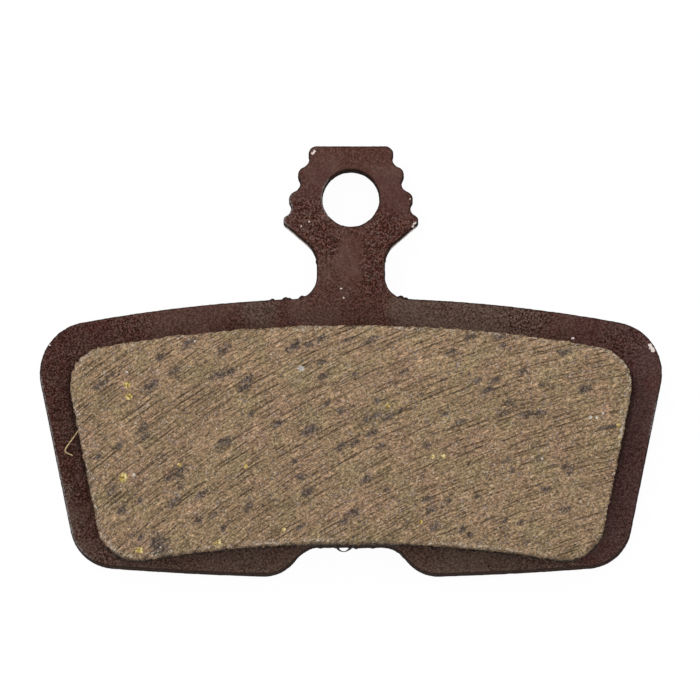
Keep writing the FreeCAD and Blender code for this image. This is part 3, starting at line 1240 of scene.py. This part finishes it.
def seen_directly(nodes: bpy.types.Nodes, links: bpy.types.NodeLinks) -> bpy.types.NodeSocket:
    """Finds the rays that show a background: the camera's, and those in gloss and glass.

    Args:
        nodes: A tree's nodes.
        links: The tree's links.

    Returns:
        1 for such a ray, and 0 for a ray that carries light.
    """
    path = nodes.new("ShaderNodeLightPath")
    result = path.outputs["Is Camera Ray"]
    for name in ("Is Glossy Ray", "Is Transmission Ray"):
        either = nodes.new("ShaderNodeMath")
        either.operation = "MAXIMUM"
        links.new(result, either.inputs[0])
        links.new(path.outputs[name], either.inputs[1])
        result = either.outputs[0]
    return result


@dataclass
class WornPiece:
    """A piece that starts as a copy of a CAD node, gets even small faces, and is then worn by code.

    Attributes:
        node: The CAD node that it stands for.
        name: The piece's own name.
        slot: The record's slot for its finish. It is not used.
        voxel: The size of its faces.
        rim_width: How far in from its walls its rim reaches.
        MERGE: How far apart two points may lie and still be one.
        BACK_FACING: The highest slope of a face on the flat back, where -1 looks straight down.
        BACK_SLACK: How far over the back's level such a face may lie.
    """

    MERGE = 0.001
    BACK_FACING = -0.99
    BACK_SLACK = 0.001

    node: CadNode
    name: str
    slot: Slot
    voxel: float
    rim_width: float

    def build(self) -> bpy.types.Object:
        """Makes the piece, dresses it and puts it in its node's place.

        Returns:
            The finished piece.
        """
        piece = self.copy_node()
        self.even_out(piece)
        self.wear_down(piece)
        self.fill_back(piece)
        bpy.ops.object.shade_smooth_by_angle(angle=SMOOTH_ANGLE)
        piece.data.materials.clear()
        piece.data.materials.append(self.finish().build())
        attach(piece, BODY)
        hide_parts(self.node.value)
        return piece

    def copy_node(self) -> bpy.types.Object:
        """Copies the node's mesh into a new piece and merges its loose triangles.

        Returns:
            The new piece.
        """
        piece = bpy.data.objects.new(self.name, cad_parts[self.node.value].data.copy())
        bpy.context.scene.collection.objects.link(piece)
        select_only(piece)
        bpy.ops.object.mode_set(mode="EDIT")
        bpy.ops.mesh.select_all(action="SELECT")
        bpy.ops.mesh.remove_doubles(threshold=self.MERGE * MM)
        bpy.ops.object.mode_set(mode="OBJECT")
        return piece

    def even_out(self, piece: bpy.types.Object) -> None:
        """Gives the piece small even faces that lie on the CAD node's surface.

        Args:
            piece: The merged copy.
        """
        bpy.ops.object.modifier_add(type="REMESH")
        remesh = piece.modifiers[-1]
        remesh.mode = "VOXEL"
        remesh.voxel_size = self.voxel * MM
        bpy.ops.object.modifier_apply(modifier=remesh.name)
        bpy.ops.object.modifier_add(type="SHRINKWRAP")
        wrap = piece.modifiers[-1]
        wrap.wrap_method = "NEAREST_SURFACEPOINT"
        wrap.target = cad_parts[self.node.value]
        bpy.ops.object.modifier_apply(modifier=wrap.name)

    def wear_down(self, piece: bpy.types.Object) -> None:
        """Moves the points as the piece's wear says, in the CAD node's box, and stores its layers.

        Args:
            piece: The evened copy.
        """
        surface = Surface.of(piece.data)
        low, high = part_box(self.node.value)
        for layer, values in self.layers(surface).items():
            stored = piece.data.attributes.new(layer.value, "FLOAT", "POINT")
            stored.data.foreach_set("value", values.astype(np.float32))
        worn = surface.points - surface.normals * self.wear(surface)[:, None]
        worn = np.clip(worn, np.array(low) / MM, np.array(high) / MM)
        piece.data.vertices.foreach_set("co", (worn * MM).astype(np.float32).ravel())
        piece.data.update()

    def fill_back(self, piece: bpy.types.Object) -> None:
        """Swaps the small faces of the flat back, which isn't worn, for a plain fill.

        Args:
            piece: The worn copy.
        """
        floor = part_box(self.node.value)[0].z + self.BACK_SLACK * MM
        bpy.ops.object.mode_set(mode="EDIT")
        bpy.ops.mesh.select_mode(type="FACE")
        bpy.ops.mesh.select_all(action="DESELECT")
        bpy.ops.object.mode_set(mode="OBJECT")
        rim = piece.data.attributes[Layer.RIM.value].data
        for face in piece.data.polygons:
            flat = face.normal.z < self.BACK_FACING and face.center.z < floor
            face.select = flat and all(rim[corner].value == 0 for corner in face.vertices)
        bpy.ops.object.mode_set(mode="EDIT")
        bpy.ops.mesh.delete(type="FACE")
        bpy.ops.mesh.select_mode(type="EDGE")
        bpy.ops.mesh.select_non_manifold()
        bpy.ops.mesh.fill(use_beauty=False)
        bpy.ops.mesh.select_all(action="SELECT")
        bpy.ops.mesh.normals_make_consistent(inside=False)
        bpy.ops.object.mode_set(mode="OBJECT")

    def rim(self, points: np.ndarray) -> np.ndarray:
        """Says how near points lie to the piece's walls.

        Args:
            points: The mesh's points, one in each row.

        Returns:
            1 at the wall, and 0 from the rim's width on.
        """
        middle = points[:, 2].mean()
        wall = points[np.abs(points[:, 2] - middle) < self.voxel]
        tree = KDTree(len(wall))
        for index, (x, y, _) in enumerate(wall):
            tree.insert((x, y, 0), index)
        tree.balance()
        distance = np.array([tree.find((x, y, 0))[2] for x, y, _ in points])
        return np.clip(1 - distance / self.rim_width, 0, 1)

    def finish(self) -> Union[PrimerFinish, CompoundFinish]:
        """The finish that the piece is dressed in."""
        raise NotImplementedError

    def layers(self, surface: Surface) -> dict[Layer, np.ndarray]:
        """Works out what the mesh stores for its finish.

        Args:
            surface: The mesh's surface.

        Returns:
            A value for each point, by layer.
        """
        raise NotImplementedError

    def wear(self, surface: Surface) -> np.ndarray:
        """Works out how far the surface goes in.

        Args:
            surface: The mesh's surface.

        Returns:
            How far each point moves against its normal.
        """
        raise NotImplementedError


@dataclass
class BackingPlate(WornPiece):
    """The stamped plate: pitted primer on its front, sheared walls, burrs, and chips to the steel.

    The depths come first, then the noise that wears it and how far each thing reaches, and then
    the marks: where it is chipped, has burrs, is bare or has highlights painted on its edges, and
    is dusty, reddened, smooth or speckled on its front. SEED starts its noise.
    """

    SEED = 4

    node: CadNode = CadNode.PLATE
    name: str = "worn_plate"
    slot: Slot = Slot.COATED_STEEL
    voxel: float = 0.11
    rim_width: float = 0.22

    peel_depth: float = 0.012
    pit_depth: float = 0.022
    shear_depth: float = 0.05
    tear_depth: float = 0.15
    chip_depth: float = 0.03
    burr_rise: float = 1.25
    seam_width: float = 0.55

    peel: tuple[Wave, ...] = (Wave(1.6), Wave(5.0, through=1.0, share=0.5))
    pits: Wave = Wave(4.5, shift=40.0)
    pit_choice: Ease = Ease(0.55, 0.8)
    scores: tuple[Wave, ...] = (Wave(6.0, share=0.6), Wave(3.0, through=4.0, share=0.4))
    tears: Wave = Wave(3.4, shift=9.0)
    tear_level: float = 0.4
    notch_half: Ease = Ease(4.4, 3.2)
    notch_top: Ease = Ease(-22.0, -23.0)
    chip_edge: Ease = Ease(0.3, 0.7)
    burr_edge: Ease = Ease(0.0, 0.8)
    usual_speckle: float = 0.30
    speckled_edge: Ease = Ease(0.0, 0.7)
    smooth_edge: Ease = Ease(0.0, 0.6)
    seam_ends: Ease = Ease(16.5, 19.0, 0.35, 1.0)
    chip_foot: float = 1.0
    edge_highlight_foot: float = 1.2
    bright_share: float = 0.9
    bright_facing: Ease = Ease(0.5, 0.9)
    bright_height: Ease = Ease(1.1, 0.6)

    chips: Marks = marks(
        (20.19, -10.00, 0.16), (20.34, -10.32, 0.17), (-2.60, 3.05, 0.11), (4.33, -1.68, 0.12),
        (20.27, -10.16, 0.16), (-2.47, 3.18, 0.11), (4.19, -1.89, 0.11), (3.99, -0.05, 0.08),
        (-3.37, -1.89, 0.07), (-2.83, -1.61, 0.07), (-0.67, -6.16, 0.10), (-0.47, -6.77, 0.10),
        (-6.00, -8.13, 0.06), (-20.32, -9.97, 0.07), (-19.91, -9.22, 0.07), (14.90, -9.54, 0.10),
        (15.02, -9.52, 0.08),
    )
    burrs: Marks = marks(
        (-5.30, -6.88, 0.10), (-4.42, -6.84, 0.14), (-4.16, -6.83, 0.10), (-3.32, -6.72, 0.13),
        (3.40, -6.73, 0.15), (3.72, -6.80, 0.10), (-2.34, -4.24, 0.05), (2.36, -4.10, 0.05),
        (-1.07, -23.52, 0.07), (0.34, -23.52, 0.10), (2.70, -23.50, 0.07), (-2.9, -23.50, 0.06),
    )
    bright_walls: Marks = marks(
        (4.10, -2.00, 0.50), (3.70, -2.35, 0.60), (3.20, -2.80, 0.60), (2.85, -3.15, 0.40),
        (-4.10, -2.05, 0.50), (-3.80, -2.35, 0.60), (-3.30, -2.80, 0.60), (-3.00, -3.15, 0.40),
    )
    # Where highlights are painted on the rolled edges.
    edge_highlights: Marks = marks(
        (-20.6, -13.5, 0.9), (-20.1, -16.4, 0.9), (-19.7, -18.6, 1.0), (-19.3, -20.6, 1.0),
        (-18.9, -22.5, 0.9), (-18.2, -23.8, 0.7), (-1.95, 0.0, 0.5), (-1.8, -0.7, 0.4),
        (-1.8, 0.7, 0.4), (-4.4, -1.2, 0.5), (-3.9, -0.2, 0.3), (20.0, -15.0, 0.8),
    )
    dusty: Marks = marks(
        (3.8, -7.6, 1.0), (6.0, -7.9, 1.5), (8.5, -8.1, 1.6), (11.0, -8.3, 1.4), (-6.2, -7.6, 0.9),
        (6.6, -24.7, 0.9), (8.6, -24.9, 1.0), (11.2, -25.0, 1.1), (14.0, -24.9, 0.9),
        (-6.8, -24.8, 0.9), (-19.3, -20.0, 0.6), (-18.9, -22.0, 0.6),
    )
    reddened: Marks = marks(
        (17.8, -10.3, 0.7), (18.5, -11.4, 0.5), (16.0, -24.5, 0.6), (17.2, -23.8, 0.5),
        (15.9, -8.7, 0.8), (-17.1, -8.9, 0.9), (-20.2, -10.6, 0.6), (-18.9, -9.3, 0.7),
        (-17.3, -22.6, 0.5), (-1.9, 1.5, 0.5), (-2.4, 0.6, 0.4), (2.0, 1.2, 0.4), (1.3, -4.6, 0.4),
        (20.3, -12.6, 0.5), (3.0, 0.3, 0.9), (2.9, -0.9, 0.7), (-2.9, 0.1, 0.7),
    )
    smooth: Marks = marks(
        (0.0, 2.9, 1.3), (-1.8, 2.4, 1.0), (1.9, 2.4, 1.0), (0.0, -3.6, 0.6), (0.0, -4.8, 0.6),
        (3.0, 0.2, 0.7),
    )
    speckled: Marks = marks(
        (-2.4, -2.0, 0.9), (-1.7, -3.0, 0.8), (2.4, -2.3, 0.9), (1.7, -3.6, 0.7), (1.5, -4.7, 0.7),
        (-2.9, -0.9, 0.7), (-19.6, -13.0, 1.6), (-19.0, -17.0, 1.4), (-19.2, -10.2, 1.4),
        (-15.5, -8.6, 1.4), (18.2, -9.9, 1.0), (12.0, -7.9, 1.2), (-18.4, -19.8, 0.8),
        (-17.6, -22.4, 0.7), (-16.6, -24.2, 0.6), (1.6, -5.8, 0.6),
    )

    def finish(self) -> PrimerFinish:
        """The primer."""
        return PrimerFinish()

    def layers(self, surface: Surface) -> dict[Layer, np.ndarray]:
        """Stores where the primer is speckled, tinted, dusty or off, where highlights and shade are
        painted, and its edges.

        Args:
            surface: The mesh's surface.

        Returns:
            A value for each point, by layer.
        """
        points, front = surface.points, surface.front
        seam_weight = self.seam_ends.of(np.abs(points[:, 0]))
        upper = surface.height > self.edge_highlight_foot
        return {
            Layer.SPECKLE: self.speckle(points) * front,
            Layer.BARE: self.bare(surface),
            Layer.DUST: nearness(points, self.dusty) * front,
            Layer.WINE: nearness(points, self.reddened) * front,
            Layer.BURNISH: nearness(points, self.edge_highlights) * upper,
            # Where shade is painted along the block's foot, stronger near the pad's ends.
            Layer.SEAM: self.seam(points) * front * seam_weight,
            Layer.WALL: surface.wall,
            Layer.RIM: self.rim(points),
        }

    def speckle(self, points: np.ndarray) -> np.ndarray:
        """Says how speckled the primer is.

        Args:
            points: The mesh's points, one in each row.

        Returns:
            1 in the middle of the speckled places, 0 on the smooth ones, and between these
            elsewhere.
        """
        usual = self.usual_speckle
        rough = self.speckled_edge.of(nearness(points, self.speckled))
        even = self.smooth_edge.of(nearness(points, self.smooth))
        return np.clip(usual + (1 - usual) * rough - even * (1 - rough), 0, 1)

    def bare(self, surface: Surface) -> np.ndarray:
        """Says where the primer is off: at the chips, and low on the walls under the tab.

        Args:
            surface: The mesh's surface.

        Returns:
            1 at a bare place's centre, and 0 on the primer.
        """
        chips = nearness(surface.points, self.chips) * (surface.height > self.chip_foot)
        walls = nearness(surface.points, self.bright_walls) * self.bright_facing.of(surface.wall)
        low = self.bright_height.of(surface.height)
        return np.maximum(chips, self.bright_share * walls * low)

    def seam(self, points: np.ndarray) -> np.ndarray:
        """Says how near points lie to the friction block's foot, where shade is painted.

        Args:
            points: The mesh's points, one in each row.

        Returns:
            1 at the block, and 0 from the seam's width on.
        """
        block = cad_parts[CadNode.BLOCK.value]
        tree = BVHTree.FromObject(block, bpy.context.evaluated_depsgraph_get())
        reach = self.seam_width * MM
        near = (tree.find_nearest(point, reach)[3] for point in points * MM)
        return np.array([0.0 if distance is None else 1 - distance / reach for distance in near])

    def wear(self, surface: Surface) -> np.ndarray:
        """Pits the front, scores the sheared walls, raises the burrs and sinks the chips.

        Args:
            surface: The mesh's surface.

        Returns:
            How far each point moves against its normal.
        """
        points = surface.points
        noise = Noise(self.SEED)
        peel = self.peel_depth * noise.waves(points, *self.peel)
        pits = self.pit_choice.of(noise.waves(points, self.pits)) * self.speckle(points)
        chips = self.chip_depth * self.chip_edge.of(nearness(points, self.chips))
        notch = self.notch_half.of(np.abs(points[:, 0])) * self.notch_top.of(points[:, 1])
        tears = notch * (noise.waves(points, self.tears) - self.tear_level)
        scores = self.shear_depth * noise.waves(points, *self.scores) + self.tear_depth * tears
        burrs = np.zeros(len(points))
        for burr in self.burrs:
            rise = self.burr_rise * burr.radius * self.burr_edge.of(nearness(points, [burr]))
            burrs = np.maximum(burrs, rise)
        front = peel + self.pit_depth * pits + chips
        return surface.front * front + surface.wall * (scores - burrs)


@dataclass
class FrictionBlock(WornPiece):
    """The moulded block: ground in arcs on its face, torn along its edges and rough on its walls.

    The depths come first, then the noise that wears it and how far each thing reaches, and then
    the marks: graphite clumps, brass flecks, bright glints, and the frayed stretches of its rim.
    SEED starts its noise.
    """

    SEED = 9

    node: CadNode = CadNode.BLOCK
    name: str = "ground_block"
    slot: Slot = Slot.FRICTION_COMPOUND
    voxel: float = 0.1
    rim_width: float = 0.40

    groove_depth: float = 0.028
    grain_depth: float = 0.02
    clump_depth: float = 0.03
    wall_depth: float = 0.42
    crumb_depth: float = 0.20

    groove_pitch: float = 0.32
    groove_length: float = 5.0
    groove_choice: Ease = Ease(0.35, 0.95)
    grain: Wave = Wave(5.0)
    crumbs: Wave = Wave(3.6, through=1.0)
    crumb_choice: Ease = Ease(0.40, 0.85)
    clump_stretch: float = 1.8
    clump_edge: Ease = Ease(0.3, 0.7)
    rough: tuple[Wave, ...] = (
        Wave(1.8, through=1.2, share=0.2),
        Wave(4.6, through=2.0, share=0.3),
        Wave(9.1, through=5.0, share=0.5),
    )
    rough_level: float = 0.45

    clumps: Marks = marks(
        (10.47, -18.03, 0.19), (10.88, -18.77, 0.19), (12.70, -17.82, 0.19), (14.52, -18.43, 0.24),
        (14.73, -18.84, 0.19), (14.46, -21.35, 0.29), (13.11, -19.99, 0.24), (8.51, -20.47, 0.19),
        (7.43, -22.71, 0.29), (7.97, -23.05, 0.19), (10.34, -22.17, 0.19), (11.49, -22.17, 0.19),
        (16.95, -15.79, 0.19), (11.82, -23.52, 0.19), (6.49, -20.74, 0.19), (-0.74, -17.14, 0.29),
        (0.28, -16.80, 0.24), (1.96, -17.07, 0.24), (-2.90, -20.13, 0.29), (-3.37, -19.18, 0.24),
        (-3.77, -18.09, 0.19), (2.44, -19.99, 0.19), (1.02, -19.32, 0.29), (0.21, -21.56, 0.34),
        (-0.40, -22.17, 0.24), (-3.44, -22.57, 0.19), (5.14, -17.01, 0.24), (5.14, -20.67, 0.24),
        (5.34, -21.35, 0.24), (5.61, -22.51, 0.29), (-6.88, -21.22, 0.24), (-15.59, -17.01, 0.24),
        (-17.01, -17.82, 0.19), (-11.47, -18.84, 0.34), (-12.28, -19.18, 0.24),
        (-11.88, -20.81, 0.29), (-11.54, -19.86, 0.19), (-10.05, -20.33, 0.24),
        (-16.13, -20.06, 0.24), (-15.46, -21.35, 0.24), (-14.24, -20.74, 0.19),
        (-10.26, -22.10, 0.24), (-8.57, -22.57, 0.19), (-6.88, -21.15, 0.24), (-9.18, -21.69, 0.19),
        (-14.65, -23.05, 0.19), (-14.17, -23.25, 0.24), (-13.09, -23.46, 0.38),
        (-12.82, -24.00, 0.46), (-8.50, -16.80, 0.34), (6.76, -10.69, 0.24), (8.04, -9.67, 0.24),
        (10.07, -9.67, 0.24), (10.20, -10.29, 0.19), (14.39, -10.69, 0.29), (11.55, -12.05, 0.24),
        (8.45, -12.66, 0.24), (9.66, -12.59, 0.24), (9.19, -13.27, 0.29), (10.74, -14.09, 0.29),
        (10.20, -14.90, 0.24), (11.82, -14.90, 0.34), (12.77, -14.77, 0.29), (12.90, -12.87, 0.19),
        (15.74, -13.21, 0.34), (6.29, -14.90, 0.19), (7.37, -15.38, 0.24), (17.56, -15.72, 0.19),
        (-3.84, -10.35, 0.34), (-2.83, -10.22, 0.24), (-2.02, -9.81, 0.19), (-0.13, -9.88, 0.24),
        (1.29, -9.95, 0.29), (-7.02, -12.53, 0.29), (-7.15, -13.07, 0.29), (-2.02, -11.37, 0.19),
        (-1.82, -12.32, 0.24), (0.28, -12.19, 0.15), (-1.68, -14.22, 0.19), (-0.67, -14.63, 0.19),
        (1.76, -14.02, 0.19), (-6.75, -14.90, 0.19), (-4.99, -15.58, 0.24), (-2.76, -15.99, 0.39),
        (1.69, -14.97, 0.24), (1.09, -15.24, 0.24), (2.44, -15.11, 0.29), (3.32, -14.63, 0.15),
        (4.67, -13.61, 0.15), (3.59, -12.05, 0.19), (1.42, -16.12, 0.29), (-10.86, -10.01, 0.29),
        (-8.50, -10.49, 0.29), (-12.75, -11.03, 0.19), (-13.43, -13.00, 0.34),
        (-11.88, -12.05, 0.24), (-8.91, -12.25, 0.34), (-8.16, -12.05, 0.29),
        (-16.13, -12.25, 0.19), (-16.87, -12.93, 0.29), (-13.97, -15.85, 0.29),
        (-13.83, -16.40, 0.24),
    )
    flecks: Marks = marks(
        (-15.08, -12.91, 0.25), (-14.95, -13.73, 0.22), (-15.29, -19.18, 0.30),
        (-14.24, -24.14, 0.24), (-8.91, -23.66, 0.24), (18.03, -15.65, 0.14), (18.17, -16.46, 0.17),
        (5.52, -17.75, 0.14), (6.22, -17.73, 0.14), (2.50, -14.32, 0.16), (4.69, -22.21, 0.14),
        (-4.52, -22.71, 0.14), (-11.54, -18.30, 0.14), (-7.08, -18.43, 0.17),
    )
    glints: Marks = marks(
        (-3.35, -11.80, 0.24), (-10.49, -9.95, 0.11), (-16.60, -12.08, 0.11),
        (-15.08, -12.08, 0.11), (-14.62, -19.01, 0.13), (16.13, -15.11, 0.13),
        (16.52, -15.14, 0.13), (12.84, -17.89, 0.11), (14.96, -9.80, 0.13), (18.20, -14.70, 0.11),
        (16.99, -14.83, 0.11),
    )
    frayed: Marks = marks(
        (-18.5, -15.2, 0.9), (-18.3, -17.5, 0.9), (-18.0, -19.3, 1.1), (-17.7, -21.0, 1.2),
        (-17.2, -22.8, 1.2), (-16.0, -24.3, 1.0), (18.6, -12.6, 0.9), (17.6, -10.9, 0.9),
        (18.3, -15.8, 0.7), (16.0, -10.1, 0.8), (-17.9, -11.4, 0.7), (-9.5, -24.0, 1.0),
        (-5.5, -23.6, 1.2), (-2.0, -23.4, 0.8), (6.5, -23.7, 1.2), (9.5, -24.1, 1.0),
        (-3.0, -9.0, 0.8), (3.5, -9.0, 0.9),
    )

    def finish(self) -> CompoundFinish:
        """The friction compound."""
        return CompoundFinish()

    def layers(self, surface: Surface) -> dict[Layer, np.ndarray]:
        """Stores where graphite, brass and glints lie, and where the rim is and is frayed.

        Args:
            surface: The mesh's surface.

        Returns:
            A value for each point, by layer.
        """
        points, face = surface.points, surface.front
        return {
            Layer.GRAPHITE: self.graphite(points) * face,
            Layer.BRASS: nearness(points, self.flecks) * face,
            Layer.GLINT: nearness(points, self.glints) * face,
            Layer.RIM: self.rim(points) * face,
            Layer.FRAY: nearness(points, self.frayed),
            Layer.WALL: surface.wall,
        }

    def graphite(self, points: np.ndarray) -> np.ndarray:
        """Says how near points lie to the graphite clumps, which the grinding drew out.

        Args:
            points: The mesh's points, one in each row.

        Returns:
            1 at a clump's centre, a half at its edge and 0 from twice its radius on.
        """
        middles = np.array([(clump.x, clump.y) for clump in self.clumps])
        drawn = GRINDING.drawn_out(middles, self.clump_stretch)
        smeared = [Mark(x, y, clump.radius) for (x, y), clump in zip(drawn, self.clumps)]
        return nearness(GRINDING.drawn_out(points, self.clump_stretch), smeared)

    def wear(self, surface: Surface) -> np.ndarray:
        """Grinds the face, sinks the graphite, tears the edges and roughens the walls.

        Args:
            surface: The mesh's surface.

        Returns:
            How far each point moves against its normal.
        """
        points = surface.points
        noise = Noise(self.SEED)
        radius, along = GRINDING.places(points)
        cut = noise.at(radius / self.groove_pitch, along / self.groove_length)
        grooves = self.groove_depth * self.groove_choice.of(cut)
        grain = self.grain_depth * noise.waves(points, self.grain)
        sunk = self.clump_depth * self.clump_edge.of(self.graphite(points))
        torn = self.crumb_choice.of(noise.waves(points, self.crumbs))
        crumbs = self.crumb_depth * self.rim(points) * torn
        rough = self.wall_depth * (noise.waves(points, *self.rough) - self.rough_level)
        return surface.front * (grooves + grain + sunk + crumbs) + surface.wall * rough


@dataclass
class Strand:
    """A thin strand that stands out of the block's wall.

    Attributes:
        name: The piece's own name.
        route: The points that steer its line and its width at each, with its ends in the block or
            on the plate.
        finish: What it is dressed in.
        order: How smoothly its line follows the route.
        roundness: How finely its section is divided.
    """

    name: str
    route: tuple[tuple[float, float, float, float], ...]
    finish: StrandFinish
    order: int = 3
    roundness: int = 2

    def build(self) -> bpy.types.Object:
        """Sweeps the strand along its route.

        Returns:
            The finished piece.
        """
        bpy.ops.object.select_all(action="DESELECT")
        bpy.ops.curve.primitive_nurbs_path_add()
        piece = bpy.context.active_object
        piece.name = self.name
        line = piece.data.splines[0]
        line.points.add(len(self.route) - len(line.points))
        for point, (x, y, z, width) in zip(line.points, self.route):
            point.co = (x * MM, y * MM, z * MM, 1)
            point.radius = width
        line.order_u = self.order
        line.use_endpoint_u = True
        piece.data.bevel_depth = MM / 2
        piece.data.bevel_resolution = self.roundness
        piece.data.use_fill_caps = True
        bpy.ops.object.convert(target="MESH")
        bpy.ops.object.shade_smooth_by_angle(angle=SMOOTH_ANGLE)
        piece.data.materials.clear()
        piece.data.materials.append(self.finish.build())
        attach(piece, BODY)
        return piece


BRASS_FIBRE = Strand(
    name="brass_fibre",
    route=(
        (-18.05, -15.40, 2.85, 0.11), (-18.46, -16.02, 2.65, 0.10), (-18.94, -16.64, 2.25, 0.11),
        (-19.28, -17.06, 1.90, 0.12), (-19.20, -17.30, 1.87, 0.12), (-18.74, -17.46, 1.92, 0.09),
    ),
    finish=StrandFinish(
        "drawn_brass", bright=(0.66, 0.52, 0.26), dull=(0.42, 0.30, 0.17), metallic=0.6
    ),
)
MOULDING_CURL = Strand(
    name="moulding_curl",
    route=(
        (-1.10, -23.10, 1.95, 0.16), (-1.00, -23.62, 1.94, 0.20), (-0.80, -23.88, 1.92, 0.13),
        (-0.58, -23.98, 1.92, 0.06), (-0.34, -23.97, 1.92, 0.06), (-0.14, -23.84, 1.93, 0.14),
        (0.10, -23.64, 1.94, 0.20), (0.45, -23.10, 1.95, 0.12),
    ),
    finish=StrandFinish(
        "moulded_skin", bright=(0.050, 0.040, 0.036), dull=(0.014, 0.010, 0.009), metallic=0.0
    ),
)


@dataclass
class Studio:
    """White floor and surround, a soft key and a camera that looks almost straight down.

    Attributes:
        target: The point in the middle of the picture.
        tilt: How far the camera leans from straight down, in degrees.
        distance: How far off the camera stands.
        picture: The width of what it sees.
        sensor: The width of its sensor.
        surround: How strongly the surround lights the pad, where 1 is white.
        key_power: The key's power in watts.
        key_place: Where the key stands, at the upper left.
        key_size: The key's width.
        floor_size: The floor's width.
        floor_drop: How far the floor lies under the pad.
    """

    target: tuple[float, float, float] = (-0.06, -10.12, 0.0)
    tilt: float = 6.0
    distance: float = 1500.0
    picture: float = 47.26
    sensor: float = 36.0
    surround: float = 0.74
    key_power: float = 1.0
    key_place: tuple[float, float, float] = (-380.0, 360.0, 520.0)
    key_size: float = 220.0
    floor_size: float = 6000.0
    floor_drop: float = 0.01

    def build(self) -> None:
        """Sets up floor, surround, key and camera."""
        self.lay_floor()
        self.light_surround()
        self.hang_key()
        self.aim_camera()
        bpy.context.scene.view_settings.view_transform = "Standard"

    def lay_floor(self) -> None:
        """Lays the floor just under the pad."""
        bpy.ops.object.select_all(action="DESELECT")
        place = (0, 0, -self.floor_drop * MM)
        bpy.ops.mesh.primitive_plane_add(size=self.floor_size * MM, location=place)
        floor = bpy.context.active_object
        floor.name = "floor"
        floor.data.materials.append(FloorFinish().build())

    def light_surround(self) -> None:
        """Makes the surround white to look at, and dimmer as a light."""
        world = bpy.data.worlds.new("white_surround")
        world.use_nodes = True
        bpy.context.scene.world = world
        nodes, links = world.node_tree.nodes, world.node_tree.links
        background = nodes["Background"]
        background.inputs["Color"].default_value = (1, 1, 1, 1)
        strength = nodes.new("ShaderNodeMapRange")
        strength.inputs["To Min"].default_value = self.surround
        strength.inputs["To Max"].default_value = 1.0
        links.new(seen_directly(nodes, links), strength.inputs["Value"])
        links.new(strength.outputs[0], background.inputs["Strength"])

    def hang_key(self) -> None:
        """Hangs the soft key light."""
        place = Vector(self.key_place)
        turn = (Vector(self.target) - place).to_track_quat("-Z", "Y").to_euler()
        bpy.ops.object.light_add(type="AREA", location=place * MM, rotation=turn)
        key = bpy.context.active_object
        key.name = "key"
        key.data.energy = self.key_power
        key.data.size = self.key_size * MM

    def aim_camera(self) -> None:
        """Aims a long lens at the target, leaning towards the pad's lower edge."""
        lean = math.radians(self.tilt)
        back = Vector((0, -math.sin(lean), math.cos(lean))) * self.distance
        place = (Vector(self.target) + back) * MM
        bpy.ops.object.camera_add(location=place, rotation=(lean, 0, 0))
        camera = bpy.context.active_object
        camera.name = "camera"
        camera.data.sensor_width = self.sensor
        camera.data.lens = self.sensor * self.distance / self.picture
        bpy.context.scene.camera = camera


def main() -> None:
    """Builds the pad's pieces in order, then the studio round them."""
    logging.basicConfig(level=logging.INFO, format="%(message)s")
    for part in (BackingPlate(), FrictionBlock(), BRASS_FIBRE, MOULDING_CURL):
        piece = part.build()
        LOG.info("%s: %d faces", piece.name, len(piece.data.polygons))
    Studio().build()


if __name__ == "__main__":
    main()
